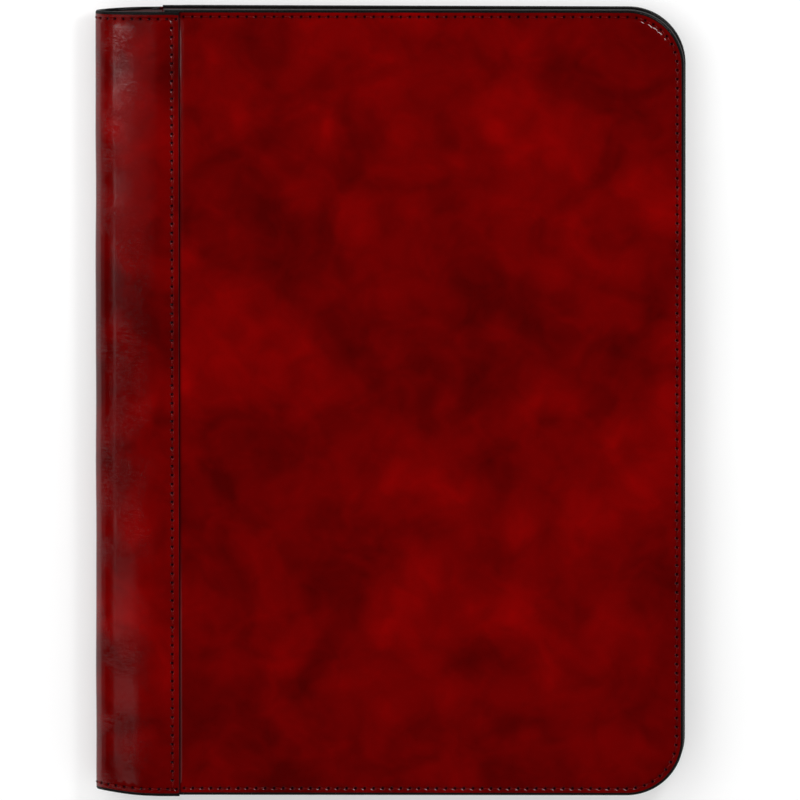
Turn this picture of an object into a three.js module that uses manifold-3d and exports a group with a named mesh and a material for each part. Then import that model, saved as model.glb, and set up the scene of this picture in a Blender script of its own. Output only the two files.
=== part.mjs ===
// A leather portfolio case for A4 paper, lying closed on its back cover.
// Millimetres, +Z up. X runs from the spine (-X) to the fore edge (+X), Y runs up the page.
// The origin is on the table, below the middle of the case.
import * as THREE from 'three';
import { mergeVertices } from 'three/addons/utils/BufferGeometryUtils.js';
import Module from 'manifold-3d';

const wasm = await Module();
wasm.setup();

// ---- Driving dimensions ----

const WIDTH = 250;
const HEIGHT = 335;
const CORNER_RADIUS = 24;
const SPINE_THICKNESS = 25;
const FORE_EDGE_THICKNESS = 18;
const SPINE_BULGE = 28;
const FLAP_EDGE_X = -89;

const LEATHER = 1.25;
const PADDING = 0.75;
const BOARD = 1.5;
const LINING = 0.75;
const GAP = 0.1;

const STITCH_INSET = 2.8;
const SEAM_X = -92.1;
const THREAD = 0.45;
const THREAD_CLEARANCE = 0.1;

const WELT_WIDTH = 6.5;
const BOARD_INSET = 6.8;
const BOARD_SPINE_X = -86.7;
const WELT_SPINE_X = -87;
const SPINE_CLEARANCE = 0.3;
const STRIP_GAP = 1.1;

const PAPER_WIDTH = 210;
const PAPER_HEIGHT = 297;
const PAPER_X = 16;
const PAD_BOARD = 0.75;
const PAD_STACK = 3.8;
const TAPE = 0.25;
const TAPE_WIDTH = 18;

const PAD_POCKET_TOP = 40;
const PAD_POCKET_SPINE_X = -94;
const POCKET_PANEL = 1;
const POCKET_WELT = 2.5;
const DOCUMENT_POCKET_SPINE_X = -62;

const CARD_SLOTS = 3;
const CARD_SLOT_LEATHER = 0.8;
const CARD_SLOT_X = -4;
const CARD_SLOT_WIDTH = 96;
const CARD_SLOT_BOTTOM = 20;
const CARD_SLOT_HEIGHT = 90;
const CARD_SLOT_STEP = 14;

const PEN_LOOP_X = -100;
const PEN_LOOP_Y = 78;
const PEN_LOOP_LENGTH = 36;
const PEN_LOOP_RADIUS = 6;
const PEN_LOOP_WALL = 1;
const PEN_LOOP_TAB = 8;

const ARC_STEPS = 14;

// ---- Dimensions that follow ----

const SPINE_X = -WIDTH / 2 + SPINE_BULGE;
const HALF_SPINE = SPINE_THICKNESS / 2;
const WRAP_STEP = LEATHER + GAP;
const FILLING = PADDING + GAP + BOARD;
const COVER_STACK = LEATHER + GAP + FILLING + GAP + LINING;
const EDGE_X = WIDTH / 2;
const EDGE_Y = HEIGHT / 2;

// ---- Materials ----

const colours = {
  leather: [0x7a0a0c, 0.35, 0],
  inner: [0x6a1014, 0.5, 0],
  lining: [0x4a0d10, 0.7, 0],
  edge: [0x121112, 0.3, 0],
  thread: [0x5a0507, 0.7, 0],
  foam: [0x8a8580, 0.95, 0],
  card: [0x8c7f6c, 0.85, 0],
  paper: [0xf2efe6, 0.8, 0],
  tape: [0x202022, 0.6, 0],
};

function material(kind) {
  const [color, roughness, metalness] = colours[kind];
  return new THREE.MeshStandardMaterial({ color, roughness, metalness });
}

function node(name, geometry, kind) {
  const mesh = new THREE.Mesh(geometry, material(kind));
  mesh.name = name;
  return mesh;
}

// ---- Solids and booleans ----

function toSolid(geometry) {
  const bare = geometry.clone();
  bare.deleteAttribute('normal');
  bare.deleteAttribute('uv');
  const merged = mergeVertices(bare, 1e-4);
  const vertProperties = new Float32Array(merged.attributes.position.array);
  const triVerts = new Uint32Array(merged.index.array);
  return new wasm.Manifold(new wasm.Mesh({ numProp: 3, vertProperties, triVerts }));
}

function toGeometry(solid) {
  const mesh = solid.getMesh();
  const geometry = new THREE.BufferGeometry();
  geometry.setAttribute('position', new THREE.BufferAttribute(mesh.vertProperties, 3));
  geometry.setIndex(new THREE.BufferAttribute(mesh.triVerts, 1));
  geometry.computeVertexNormals();
  return geometry;
}

function join(a, b) {
  return toGeometry(toSolid(a).add(toSolid(b)));
}

function cut(a, b) {
  return toGeometry(toSolid(a).subtract(toSolid(b)));
}

// A box given by its lowest and highest corners.
function box(low, high) {
  const size = high.map((value, axis) => value - low[axis]);
  const centre = high.map((value, axis) => (value + low[axis]) / 2);
  return new THREE.BoxGeometry(...size).translate(...centre);
}

// A flat plate of an outline drawn in X and Y.
function plate(shape, bottom, thickness) {
  const settings = { depth: thickness, bevelEnabled: false, curveSegments: ARC_STEPS };
  return new THREE.ExtrudeGeometry(shape, settings).translate(0, 0, bottom);
}

// A bar along Y, of a section drawn in X and Z.
function barAlongY(shape, low, high) {
  const settings = { depth: high - low, bevelEnabled: false, curveSegments: ARC_STEPS };
  return new THREE.ExtrudeGeometry(shape, settings).rotateX(Math.PI / 2).translate(0, high, 0);
}

// A bar along X, of a section drawn in Y and Z.
function barAlongX(shape, low, high) {
  const settings = { depth: high - low, bevelEnabled: false };
  const geometry = new THREE.ExtrudeGeometry(shape, settings);
  return geometry.rotateX(Math.PI / 2).rotateZ(Math.PI / 2).translate(low, 0, 0);
}

function polygon(points) {
  return new THREE.Shape(points.map(([u, v]) => new THREE.Vector2(u, v)));
}

// ---- The outline of a cover: square at the spine, rounded at the fore edge ----

function tracedCover(path, spineX, inset) {
  const radius = CORNER_RADIUS - inset;
  const centreX = EDGE_X - CORNER_RADIUS;
  const centreY = EDGE_Y - CORNER_RADIUS;
  path.moveTo(spineX, -EDGE_Y + inset);
  path.lineTo(centreX, -EDGE_Y + inset);
  path.absarc(centreX, -centreY, radius, -Math.PI / 2, 0, false);
  path.absarc(centreX, centreY, radius, 0, Math.PI / 2, false);
  path.lineTo(spineX, EDGE_Y - inset);
  path.closePath();
  return path;
}

function coverShape(spineX, inset) {
  return tracedCover(new THREE.Shape(), spineX, inset);
}

function frameShape(spineX, inset, innerSpineX, innerInset) {
  const shape = coverShape(spineX, inset);
  shape.holes.push(tracedCover(new THREE.Path(), innerSpineX, innerInset));
  return shape;
}

// The border seam runs round three sides of a cover, from the spine wrap and back to it.
function borderSeamShape(spineX, halfWidth) {
  const outer = STITCH_INSET - halfWidth;
  const inner = STITCH_INSET + halfWidth;
  const centreX = EDGE_X - CORNER_RADIUS;
  const centreY = EDGE_Y - CORNER_RADIUS;
  const shape = new THREE.Shape();
  shape.moveTo(spineX, -EDGE_Y + outer);
  shape.lineTo(centreX, -EDGE_Y + outer);
  shape.absarc(centreX, -centreY, CORNER_RADIUS - outer, -Math.PI / 2, 0, false);
  shape.absarc(centreX, centreY, CORNER_RADIUS - outer, 0, Math.PI / 2, false);
  shape.lineTo(spineX, EDGE_Y - outer);
  shape.lineTo(spineX, EDGE_Y - inner);
  shape.absarc(centreX, centreY, CORNER_RADIUS - inner, Math.PI / 2, 0, true);
  shape.absarc(centreX, -centreY, CORNER_RADIUS - inner, 0, -Math.PI / 2, true);
  shape.lineTo(spineX, -EDGE_Y + inner);
  shape.closePath();
  return shape;
}

// ---- The spine's section: a half ellipse from the back cover's plane to the front cover's ----

// The place on the ellipse, as its parameter, where the leather has turned by an angle.
function parameterAt(turn) {
  const t = Math.atan2(SPINE_BULGE * Math.sin(turn), HALF_SPINE * Math.cos(turn));
  return t < 0 ? t + 2 * Math.PI : t;
}

// A point of the section, at a depth below the outer face.
function spinePoint(t, depth) {
  const nx = Math.sin(t) / SPINE_BULGE;
  const nz = Math.cos(t) / HALF_SPINE;
  const scale = depth / Math.hypot(nx, nz);
  const x = SPINE_X - SPINE_BULGE * Math.sin(t) + nx * scale;
  const z = HALF_SPINE - HALF_SPINE * Math.cos(t) + nz * scale;
  return [x, z];
}

// The front cover slopes down to the fore edge. Its plane touches the ellipse, so the slope and
// the place where it touches are found together.
function frontSlope() {
  let slope = 0;
  for (let round = 0; round < 50; round += 1) {
    const [x, z] = spinePoint(parameterAt(Math.PI + slope), 0);
    slope = Math.atan((z - FORE_EDGE_THICKNESS - WRAP_STEP) / (EDGE_X - x));
  }
  return slope;
}

const SLOPE = frontSlope();
const TURN = Math.PI + SLOPE;
const FRONT_T = parameterAt(TURN);
const [FRONT_X, FRONT_Z] = spinePoint(FRONT_T, 0);

// The spine bends at three folds, the middle one twice as far as the others. So it is made as
// four strips, which part halfway through each bend. The outer two lie on the covers.
const PARTING_SHARES = [1 / 8, 1 / 2, 7 / 8];
const PARTINGS = PARTING_SHARES.map((share) => parameterAt(TURN * share));
const STRIP_NAMES = ['back', 'lower', 'upper', 'front'];

function halfGapAt(t) {
  const speed = Math.hypot(SPINE_BULGE * Math.cos(t), HALF_SPINE * Math.sin(t));
  return STRIP_GAP / 2 / speed;
}

function stripRange(index) {
  const start = index === 0 ? 0 : PARTINGS[index - 1] + halfGapAt(PARTINGS[index - 1]);
  const end = index === PARTINGS.length ? FRONT_T : PARTINGS[index] - halfGapAt(PARTINGS[index]);
  return [start, end];
}

// The section of one strip between two depths, each a function of the ellipse's parameter.
function stripSection(index, outerDepth, innerDepth) {
  const [start, end] = stripRange(index);
  const outer = [];
  const inner = [];
  for (let step = 0; step <= ARC_STEPS; step += 1) {
    const t = start + ((end - start) * step) / ARC_STEPS;
    outer.push(spinePoint(t, outerDepth(t)));
    inner.push(spinePoint(t, innerDepth(t)));
  }
  return { outer, inner };
}

// A point on the front cover's plane, at a place along it and a depth below it.
function frontPoint(x, depth) {
  const along = x - FRONT_X;
  const worldX = FRONT_X + along * Math.cos(SLOPE) - depth * Math.sin(SLOPE);
  const worldZ = FRONT_Z - along * Math.sin(SLOPE) - depth * Math.cos(SLOPE);
  return [worldX, worldZ];
}

function backPoint(x, depth) {
  return [x, depth];
}

// The flat part of the wrap that lies on a cover, with a groove for its seam.
function flapOutline(point) {
  const half = THREAD / 2 + THREAD_CLEARANCE;
  const groove = THREAD + THREAD_CLEARANCE;
  return [
    point(FLAP_EDGE_X, LEATHER),
    point(FLAP_EDGE_X, 0),
    point(SEAM_X + half, 0),
    point(SEAM_X + half, groove),
    point(SEAM_X - half, groove),
    point(SEAM_X - half, 0),
  ];
}

function wrapStrip(index) {
  const { outer, inner } = stripSection(index, () => 0, () => LEATHER);
  let outline = [...outer, ...inner.reverse()];
  if (index === 0) {
    outline = [...flapOutline(backPoint), ...outer, ...inner];
  }
  if (index === PARTINGS.length) {
    outline = [...flapOutline(frontPoint), ...outer.reverse(), ...inner.reverse()];
  }
  return barAlongY(polygon(outline), -EDGE_Y, EDGE_Y);
}

// The spine's lining lies on the leather, and rises at both ends to meet the covers' linings.
function liningDepth(t) {
  const reach = 0.4;
  const backRise = THREE.MathUtils.smoothstep(reach - t, 0, reach);
  const frontRise = THREE.MathUtils.smoothstep(t - FRONT_T + reach, 0, reach);
  const bottom = LEATHER + GAP;
  const atBack = COVER_STACK - LINING - bottom;
  const atFront = COVER_STACK + WRAP_STEP - LINING - bottom;
  return bottom + backRise * atBack + frontRise * atFront;
}

function liningStrip(index) {
  const { outer, inner } = stripSection(index, liningDepth, (t) => liningDepth(t) + LINING);
  return barAlongY(polygon([...outer, ...inner.reverse()]), -EDGE_Y + 1, EDGE_Y - 1);
}

function makeSpine() {
  const group = new THREE.Group();
  STRIP_NAMES.forEach((name, index) => {
    group.add(node(`spine_wrap_${name}`, wrapStrip(index), 'leather'));
    group.add(node(`spine_lining_${name}`, liningStrip(index), 'lining'));
  });
  return group;
}

// ---- A cover's sandwich ----

// The layers are drawn from the outer face inwards. On the back cover inwards is up and on the
// front cover it is down, in the group that slopes.
function layer(inwards, shape, depth, thickness) {
  const bottom = inwards > 0 ? depth : -depth - thickness;
  return plate(shape, bottom, thickness);
}

function makeCover(name, inwards, face, spineX) {
  const group = new THREE.Group();
  const filling = face + LEATHER + GAP;
  const boardDepth = filling + PADDING + GAP;
  const liningFace = filling + FILLING + GAP;
  const groove = THREAD + THREAD_CLEARANCE;
  const seamEndX = FLAP_EDGE_X + SPINE_CLEARANCE;

  const panelSpineX = inwards > 0 ? seamEndX : spineX;
  let leather = layer(inwards, coverShape(panelSpineX, 0), face, LEATHER);
  const seamRoom = borderSeamShape(seamEndX - 1, THREAD / 2 + THREAD_CLEARANCE);
  let welt = layer(
    inwards,
    frameShape(spineX, 0, WELT_SPINE_X, WELT_WIDTH),
    filling,
    FILLING,
  );
  if (inwards > 0) {
    // The back panel steps up to run under the wrap, so that the case lies flat.
    const tongueTop = WRAP_STEP + LEATHER;
    const riserX = seamEndX + 2;
    const tongue = box([spineX, -EDGE_Y, WRAP_STEP], [riserX, EDGE_Y, tongueTop]);
    const riser = box([seamEndX, -EDGE_Y, 0], [riserX, EDGE_Y, tongueTop]);
    leather = join(leather, join(tongue, riser));
    const room = riserX + GAP;
    welt = cut(welt, box([spineX - 1, -EDGE_Y - 1, 0], [room, EDGE_Y + 1, tongueTop + GAP]));
  }
  leather = cut(leather, layer(inwards, seamRoom, face - 1, 1 + groove));
  group.add(node(`${name}_cover_leather`, leather, 'leather'));
  group.add(node(`${name}_edge_welt`, welt, 'edge'));

  const core = coverShape(BOARD_SPINE_X, BOARD_INSET);
  group.add(node(`${name}_padding`, layer(inwards, core, filling, PADDING), 'foam'));
  group.add(node(`${name}_cover_board`, layer(inwards, core, boardDepth, BOARD), 'card'));

  const lining = layer(inwards, coverShape(spineX, 0.2), liningFace, LINING);
  group.add(node(`${name}_cover_lining`, lining, 'lining'));

  const border = borderSeamShape(seamEndX + THREAD, THREAD / 2);
  group.add(node(`${name}_border_thread`, layer(inwards, border, face, THREAD), 'thread'));
  const seamLow = [SEAM_X - THREAD / 2, -EDGE_Y + STITCH_INSET];
  const seamHigh = [SEAM_X + THREAD / 2, EDGE_Y - STITCH_INSET];
  const seam = polygon([
    seamLow,
    [seamHigh[0], seamLow[1]],
    seamHigh,
    [seamLow[0], seamHigh[1]],
  ]);
  group.add(node(`${name}_spine_seam_thread`, layer(inwards, seam, 0, THREAD), 'thread'));
  return group;
}

// ---- What the covers carry inside ----

// The pad's backing board slips down between this panel and the back cover's lining.
function makePadPocket() {
  const group = new THREE.Group();
  const weltBottom = COVER_STACK + GAP;
  const panelBottom = weltBottom + GAP + TAPE + PAD_BOARD + GAP;
  const above = box([-WIDTH, PAD_POCKET_TOP, 0], [WIDTH, EDGE_Y + 1, SPINE_THICKNESS]);
  const panelShape = coverShape(PAD_POCKET_SPINE_X, 0.5);
  const panel = cut(plate(panelShape, panelBottom, POCKET_PANEL), above);
  const innerSpineX = PAD_POCKET_SPINE_X + POCKET_WELT;
  const weltShape = frameShape(PAD_POCKET_SPINE_X, 0.5, innerSpineX, 0.5 + POCKET_WELT);
  const welt = cut(plate(weltShape, weltBottom, panelBottom - GAP - weltBottom), above);
  group.add(node('pad_pocket_panel', panel, 'inner'));
  group.add(node('pad_pocket_welt', welt, 'inner'));
  return group;
}

function makePenLoop() {
  const centreZ = COVER_STACK + GAP + PEN_LOOP_RADIUS;
  const shape = new THREE.Shape();
  const foot = Math.asin((PEN_LOOP_RADIUS - PEN_LOOP_WALL) / PEN_LOOP_RADIUS);
  shape.absarc(PEN_LOOP_X, centreZ, PEN_LOOP_RADIUS, -foot, 1.5 * Math.PI, false);
  shape.lineTo(PEN_LOOP_X + PEN_LOOP_TAB, centreZ - PEN_LOOP_RADIUS);
  shape.lineTo(PEN_LOOP_X + PEN_LOOP_TAB, centreZ - PEN_LOOP_RADIUS + PEN_LOOP_WALL);
  shape.closePath();
  const bore = new THREE.Path();
  bore.absarc(PEN_LOOP_X, centreZ, PEN_LOOP_RADIUS - PEN_LOOP_WALL, 0, 2 * Math.PI, false);
  shape.holes.push(bore);
  const low = PEN_LOOP_Y - PEN_LOOP_LENGTH / 2;
  return node('pen_loop', barAlongY(shape, low, low + PEN_LOOP_LENGTH), 'inner');
}

// A full-height pocket, open towards the spine, with card slots that step down on it.
function makeDocumentPocket() {
  const group = new THREE.Group();
  const face = WRAP_STEP + COVER_STACK + GAP;
  const panel = layer(-1, coverShape(DOCUMENT_POCKET_SPINE_X, 0.5), face, POCKET_PANEL);
  group.add(node('document_pocket_panel', panel, 'inner'));
  for (let slot = 0; slot < CARD_SLOTS; slot += 1) {
    const depth = face + POCKET_PANEL + GAP + slot * (CARD_SLOT_LEATHER + GAP);
    const top = CARD_SLOT_BOTTOM + CARD_SLOT_HEIGHT - slot * CARD_SLOT_STEP;
    const left = CARD_SLOT_X - CARD_SLOT_WIDTH / 2;
    const low = [left, CARD_SLOT_BOTTOM, -depth - CARD_SLOT_LEATHER];
    const strip = box(low, [left + CARD_SLOT_WIDTH, top, -depth]);
    group.add(node(`card_slot_${slot + 1}`, strip, 'inner'));
  }
  return group;
}

// ---- The writing pad: a backing board, a block of sheets and the tape that binds them ----

function makeWritingPad() {
  const group = new THREE.Group();
  const left = PAPER_X - PAPER_WIDTH / 2;
  const right = PAPER_X + PAPER_WIDTH / 2;
  const bottom = -PAPER_HEIGHT / 2;
  const top = PAPER_HEIGHT / 2;
  const boardBottom = COVER_STACK + GAP + TAPE + GAP / 2;
  const boardTop = boardBottom + PAD_BOARD;
  const backing = box([left, bottom, boardBottom], [right, top, boardTop]);
  group.add(node('pad_backing_board', backing, 'card'));

  // The sheets lie on the board at the top, and over the pocket's panel lower down.
  const sheetsOnBoard = boardTop + GAP / 2;
  const sheetsOnPanel = boardTop + GAP + POCKET_PANEL + 2 * GAP;
  const sheetsTop = sheetsOnPanel + PAD_STACK;
  const sheetsStep = PAD_POCKET_TOP + 4;
  const block = polygon([
    [bottom, sheetsOnPanel],
    [sheetsStep, sheetsOnPanel],
    [sheetsStep, sheetsOnBoard],
    [top, sheetsOnBoard],
    [top, sheetsTop],
    [bottom, sheetsTop],
  ]);
  group.add(node('pad_sheets', barAlongX(block, left, right), 'paper'));

  const slack = GAP / 2;
  const tapeEnd = top - TAPE_WIDTH;
  const outerLow = boardBottom - slack - TAPE;
  const outerHigh = sheetsTop + slack + TAPE;
  const tape = polygon([
    [tapeEnd, outerLow],
    [top + slack + TAPE, outerLow],
    [top + slack + TAPE, outerHigh],
    [tapeEnd, outerHigh],
    [tapeEnd, outerHigh - TAPE],
    [top + slack, outerHigh - TAPE],
    [top + slack, outerLow + TAPE],
    [tapeEnd, outerLow + TAPE],
  ]);
  group.add(node('pad_binding_tape', barAlongX(tape, left, right), 'tape'));
  return group;
}

// ---- The whole case ----

const portfolio = new THREE.Group();

const backCover = new THREE.Group();
backCover.add(makeCover('back', 1, 0, SPINE_X + SPINE_CLEARANCE));
backCover.add(makePadPocket());
backCover.add(makePenLoop());
portfolio.add(backCover);

portfolio.add(makeSpine());

const frontCover = new THREE.Group();
frontCover.position.set(FRONT_X, 0, FRONT_Z);
frontCover.rotation.y = SLOPE;
const frontParts = new THREE.Group();
frontParts.position.x = -FRONT_X;
frontParts.add(makeCover('front', -1, WRAP_STEP, FRONT_X + SPINE_CLEARANCE));
frontParts.add(makeDocumentPocket());
frontCover.add(frontParts);
portfolio.add(frontCover);

portfolio.add(makeWritingPad());

export default portfolio;
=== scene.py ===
"""A red leather portfolio case with a rounded spine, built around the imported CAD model.

Shapes are worked out in millimetres and turned into metres when a mesh is made. A cover's points
are (x, y, depth), where depth runs inwards from the outer face of the spine's leather strip.
"""

import math

import bmesh
import bpy
import numpy as np
from mathutils import Matrix, Vector
from mathutils.geometry import delaunay_2d_cdt
from mathutils.kdtree import KDTree


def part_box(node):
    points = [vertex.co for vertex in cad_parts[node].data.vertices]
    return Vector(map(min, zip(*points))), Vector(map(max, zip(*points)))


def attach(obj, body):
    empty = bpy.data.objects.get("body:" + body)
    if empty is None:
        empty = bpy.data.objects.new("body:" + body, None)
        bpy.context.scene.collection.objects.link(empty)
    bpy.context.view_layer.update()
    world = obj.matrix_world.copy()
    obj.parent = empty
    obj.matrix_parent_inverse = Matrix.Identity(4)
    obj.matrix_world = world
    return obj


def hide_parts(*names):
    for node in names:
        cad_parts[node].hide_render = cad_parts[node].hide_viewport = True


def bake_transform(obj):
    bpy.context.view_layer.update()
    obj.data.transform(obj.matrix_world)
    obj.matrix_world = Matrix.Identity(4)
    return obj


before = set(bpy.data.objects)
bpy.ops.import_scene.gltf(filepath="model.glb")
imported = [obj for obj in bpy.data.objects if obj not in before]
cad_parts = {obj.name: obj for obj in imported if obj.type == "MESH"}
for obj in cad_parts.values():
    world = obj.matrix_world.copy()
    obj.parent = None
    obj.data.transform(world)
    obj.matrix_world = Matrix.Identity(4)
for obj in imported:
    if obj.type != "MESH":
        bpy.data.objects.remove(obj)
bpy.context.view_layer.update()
rng = np.random.default_rng(7)

MM = 0.001

# ---- Dimensions, in millimetres: the frame's, and what follows from them ----


def box_mm(node):
    low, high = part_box(node)
    return np.array(low) / MM, np.array(high) / MM


leather_low, leather_high = box_mm("back_cover_leather")
EDGE_X = leather_high[0]
EDGE_Y = leather_high[1]
SPINE_CLEARANCE = 0.3
SPINE_X = leather_low[0] - SPINE_CLEARANCE
SPINE_BULGE = SPINE_X + EDGE_X
HALF_SPINE = 12.5
FORE_EDGE_THICKNESS = 18
FLAP_EDGE_X = box_mm("spine_wrap_back")[1][0]
CORNER_RADIUS = 24

LEATHER = 1.25
LINING = 0.75
GAP = 0.1
WRAP_STEP = LEATHER + GAP
COVER_STACK = box_mm("back_cover_lining")[1][2]

STITCH_INSET = 2.8
SEAM_TO_EDGE = 3.1
STITCH_PITCH = 3.84
PILLOW = 0.5
BORDER_START_X = FLAP_EDGE_X + 1.8


def smoothstep(low, high, value):
    t = np.clip((value - low) / (high - low), 0, 1)
    return t * t * (3 - 2 * t)


# ---- The spine's section: back flap, half ellipse, front flap, by length along the outer face ----


def parameter_at(turn):
    t = math.atan2(SPINE_BULGE * math.sin(turn), HALF_SPINE * math.cos(turn))
    return t + 2 * math.pi if t < 0 else t


def front_slope():
    slope = 0.0
    for _ in range(50):
        t = parameter_at(math.pi + slope)
        x = SPINE_X - SPINE_BULGE * math.sin(t)
        z = HALF_SPINE - HALF_SPINE * math.cos(t)
        slope = math.atan((z - FORE_EDGE_THICKNESS - WRAP_STEP) / (EDGE_X - x))
    return slope


SLOPE = front_slope()
TURN = math.pi + SLOPE
ARC_T = np.linspace(0, parameter_at(TURN), 1500)
ARC_X = SPINE_X - SPINE_BULGE * np.sin(ARC_T)
ARC_Z = HALF_SPINE - HALF_SPINE * np.cos(ARC_T)
ARC_S = np.concatenate([[0], np.cumsum(np.hypot(np.diff(ARC_X), np.diff(ARC_Z)))])
ARC_NX = np.sin(ARC_T) / SPINE_BULGE
ARC_NZ = np.cos(ARC_T) / HALF_SPINE
ARC_TURN = np.arctan2(SPINE_BULGE**-1 * np.sin(ARC_T), HALF_SPINE**-1 * np.cos(ARC_T))
ARC_TURN = np.where(ARC_TURN < 0, ARC_TURN + 2 * math.pi, ARC_TURN)
SPINE_LENGTH = ARC_S[-1]
FRONT_X, FRONT_Z = ARC_X[-1], ARC_Z[-1]
FRONT_FLAP = FLAP_EDGE_X - FRONT_X
STRIP_START = SPINE_X - FLAP_EDGE_X
STRIP_END = SPINE_LENGTH + FRONT_FLAP

WRAP_S = np.concatenate([[STRIP_START], ARC_S, [STRIP_END]])
WRAP_X = np.concatenate([[FLAP_EDGE_X], ARC_X, [FRONT_X + FRONT_FLAP * math.cos(SLOPE)]])
WRAP_Z = np.concatenate([[0], ARC_Z, [FRONT_Z - FRONT_FLAP * math.sin(SLOPE)]])
NORMAL_LENGTH = np.hypot(ARC_NX, ARC_NZ)
WRAP_NX = np.concatenate([[0], ARC_NX / NORMAL_LENGTH, [-math.sin(SLOPE)]])
WRAP_NZ = np.concatenate([[1], ARC_NZ / NORMAL_LENGTH, [-math.cos(SLOPE)]])

# How far the strip's top and bottom ends are drawn in over the fold, and sit low on the flaps.
END_FADE = 60
TOP_DROP, TOP_PULL = 0.9, 0.4
BOTTOM_RISE, BOTTOM_PULL = -0.3, 1.8


def wrap_point(s, y, depth):
    """A point of the spine's strip: length along the section, height up the page, depth."""
    s, y, depth = np.broadcast_arrays(np.asarray(s, float), y, depth)
    pull = np.sin(math.pi * np.clip(s / SPINE_LENGTH, 0, 1)) ** 3
    top = (TOP_DROP + TOP_PULL * pull) * smoothstep(EDGE_Y - END_FADE, EDGE_Y, y)
    bottom = (BOTTOM_RISE + BOTTOM_PULL * pull) * smoothstep(EDGE_Y - END_FADE, EDGE_Y, -y)
    x = np.interp(s, WRAP_S, WRAP_X) + np.interp(s, WRAP_S, WRAP_NX) * depth
    z = np.interp(s, WRAP_S, WRAP_Z) + np.interp(s, WRAP_S, WRAP_NZ) * depth
    return np.stack([x, y - top + bottom, z], axis=-1)


def wrap_outwards(s):
    s = np.asarray(s, float)
    nx = -np.interp(s, WRAP_S, WRAP_NX)
    nz = -np.interp(s, WRAP_S, WRAP_NZ)
    return np.stack([nx, np.zeros_like(nx), nz], axis=-1)


# The spine is cut into three stretches, each listed with the two bodies it lies between.
NEUTRAL_DEPTH = 0.6
PARTING_SHARES = [0, 0.25, 0.75, 1]
PARTING_S = [float(np.interp(TURN * share, ARC_TURN, ARC_S)) for share in PARTING_SHARES]
PARTINGS = [Vector(wrap_point(s, 0.0, NEUTRAL_DEPTH) * MM) for s in PARTING_S]
SPINE_PARTS = [
    ("back", "back_cover", "spine_lower", STRIP_START, PARTING_S[1]),
    ("middle", "spine_lower", "spine_upper", PARTING_S[1], PARTING_S[2]),
    ("front", "spine_upper", "front_cover", PARTING_S[2], STRIP_END),
]


def bend_with_spine(piece, part):
    """Bakes the piece's placement into its mesh; the two bodies of its stretch are looked up but not
    used.
    """
    first, second = SPINE_PARTS[part][1:3]
    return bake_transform(piece)


def nodes_of_stretch(layer, name):
    """The CAD nodes of the strip or its lining that one of the spine's stretches stands for."""
    ends = ["lower", "upper"] if name == "middle" else [name]
    return [f"{layer}_{end}" for end in ends]


def in_stretch(stations, low, high):
    """Which stations a stretch of the spine takes in, with both its ends."""
    return (stations >= low - 1e-6) & (stations <= high + 1e-6)


# ---- The covers ----


class Cover:
    """A cover's name, the body it rides on, and the way from its own points to the frame's."""

    def __init__(self, name, body, face, spine_x):
        self.name = name
        self.body = body
        self.face = face
        self.spine_x = spine_x

    def place(self, points):
        points = np.asarray(points, float)
        x, y, depth = points[..., 0], points[..., 1], points[..., 2]
        if self.name == "back":
            return np.stack([x, y, depth], axis=-1)
        along = x - FRONT_X
        world_x = FRONT_X + along * math.cos(SLOPE) - depth * math.sin(SLOPE)
        world_z = FRONT_Z - along * math.sin(SLOPE) - depth * math.cos(SLOPE)
        return np.stack([world_x, y, world_z], axis=-1)


BACK = Cover("back", "back_cover", 0.0, SPINE_X + SPINE_CLEARANCE)
FRONT = Cover("front", "front_cover", WRAP_STEP, FRONT_X + SPINE_CLEARANCE)


class BorderLine:
    """A line at one inset round a cover's three free sides, from the spine and back to it."""

    def __init__(self, start_x, inset):
        self.inset = inset
        self.corner_x = EDGE_X - CORNER_RADIUS
        self.corner_y = EDGE_Y - CORNER_RADIUS
        self.run = self.corner_x - start_x
        self.turn = math.pi / 2 * (CORNER_RADIUS - inset)
        self.side = 2 * self.corner_y
        self.length = 2 * self.run + 2 * self.turn + self.side

    def at(self, s, inset):
        """Points at a length along the line and at any inset, and the angles facing outwards."""
        s, inset = np.broadcast_arrays(np.asarray(s, float), inset)
        first, second = self.run, self.run + self.turn
        third = second + self.side
        last = third + self.turn
        quarter = math.pi / 2
        angle = -quarter + quarter * np.clip((s - first) / self.turn, 0, 1)
        angle = angle + quarter * np.clip((s - third) / self.turn, 0, 1)
        centre_x = self.corner_x + np.minimum(s - first, 0) - np.maximum(s - last, 0)
        centre_y = -self.corner_y + np.clip(s - second, 0, self.side)
        reach = CORNER_RADIUS - inset
        return centre_x + reach * np.cos(angle), centre_y + reach * np.sin(angle), angle


# ---- Mesh building ----


def make_piece(name, points, faces, material, rest=None, sharp=38, outward=None):
    """A mesh object from points in millimetres. rest is what its material's texture reads."""
    points = np.asarray(points, float).reshape(-1, 3)
    mesh = bpy.data.meshes.new(name)
    mesh.from_pydata((points * MM).tolist(), [], faces)
    bm = bmesh.new()
    bm.from_mesh(mesh)
    bmesh.ops.recalc_face_normals(bm, faces=bm.faces)
    bm.to_mesh(mesh)
    bm.free()
    mesh.polygons.foreach_set("use_smooth", np.ones(len(mesh.polygons), bool))
    mesh.set_sharp_from_angle(angle=math.radians(sharp))
    store_rest(mesh, points if rest is None else rest)
    if outward is not None:
        set_outward_normals(mesh, outward)
    mesh.materials.append(material)
    piece = bpy.data.objects.new(name, mesh)
    bpy.context.scene.collection.objects.link(piece)
    return piece


def settle(piece, body, node):
    """The piece rides on a body and stands for a CAD node, which is hidden."""
    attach(piece, body)
    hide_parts(node)
    return piece


def store_rest(mesh, rest):
    attribute = mesh.attributes.new("rest", "FLOAT_VECTOR", "POINT")
    values = (np.asarray(rest, float).reshape(-1, 3) * MM).astype(np.float32)
    attribute.data.foreach_set("vector", values.ravel())


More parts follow.
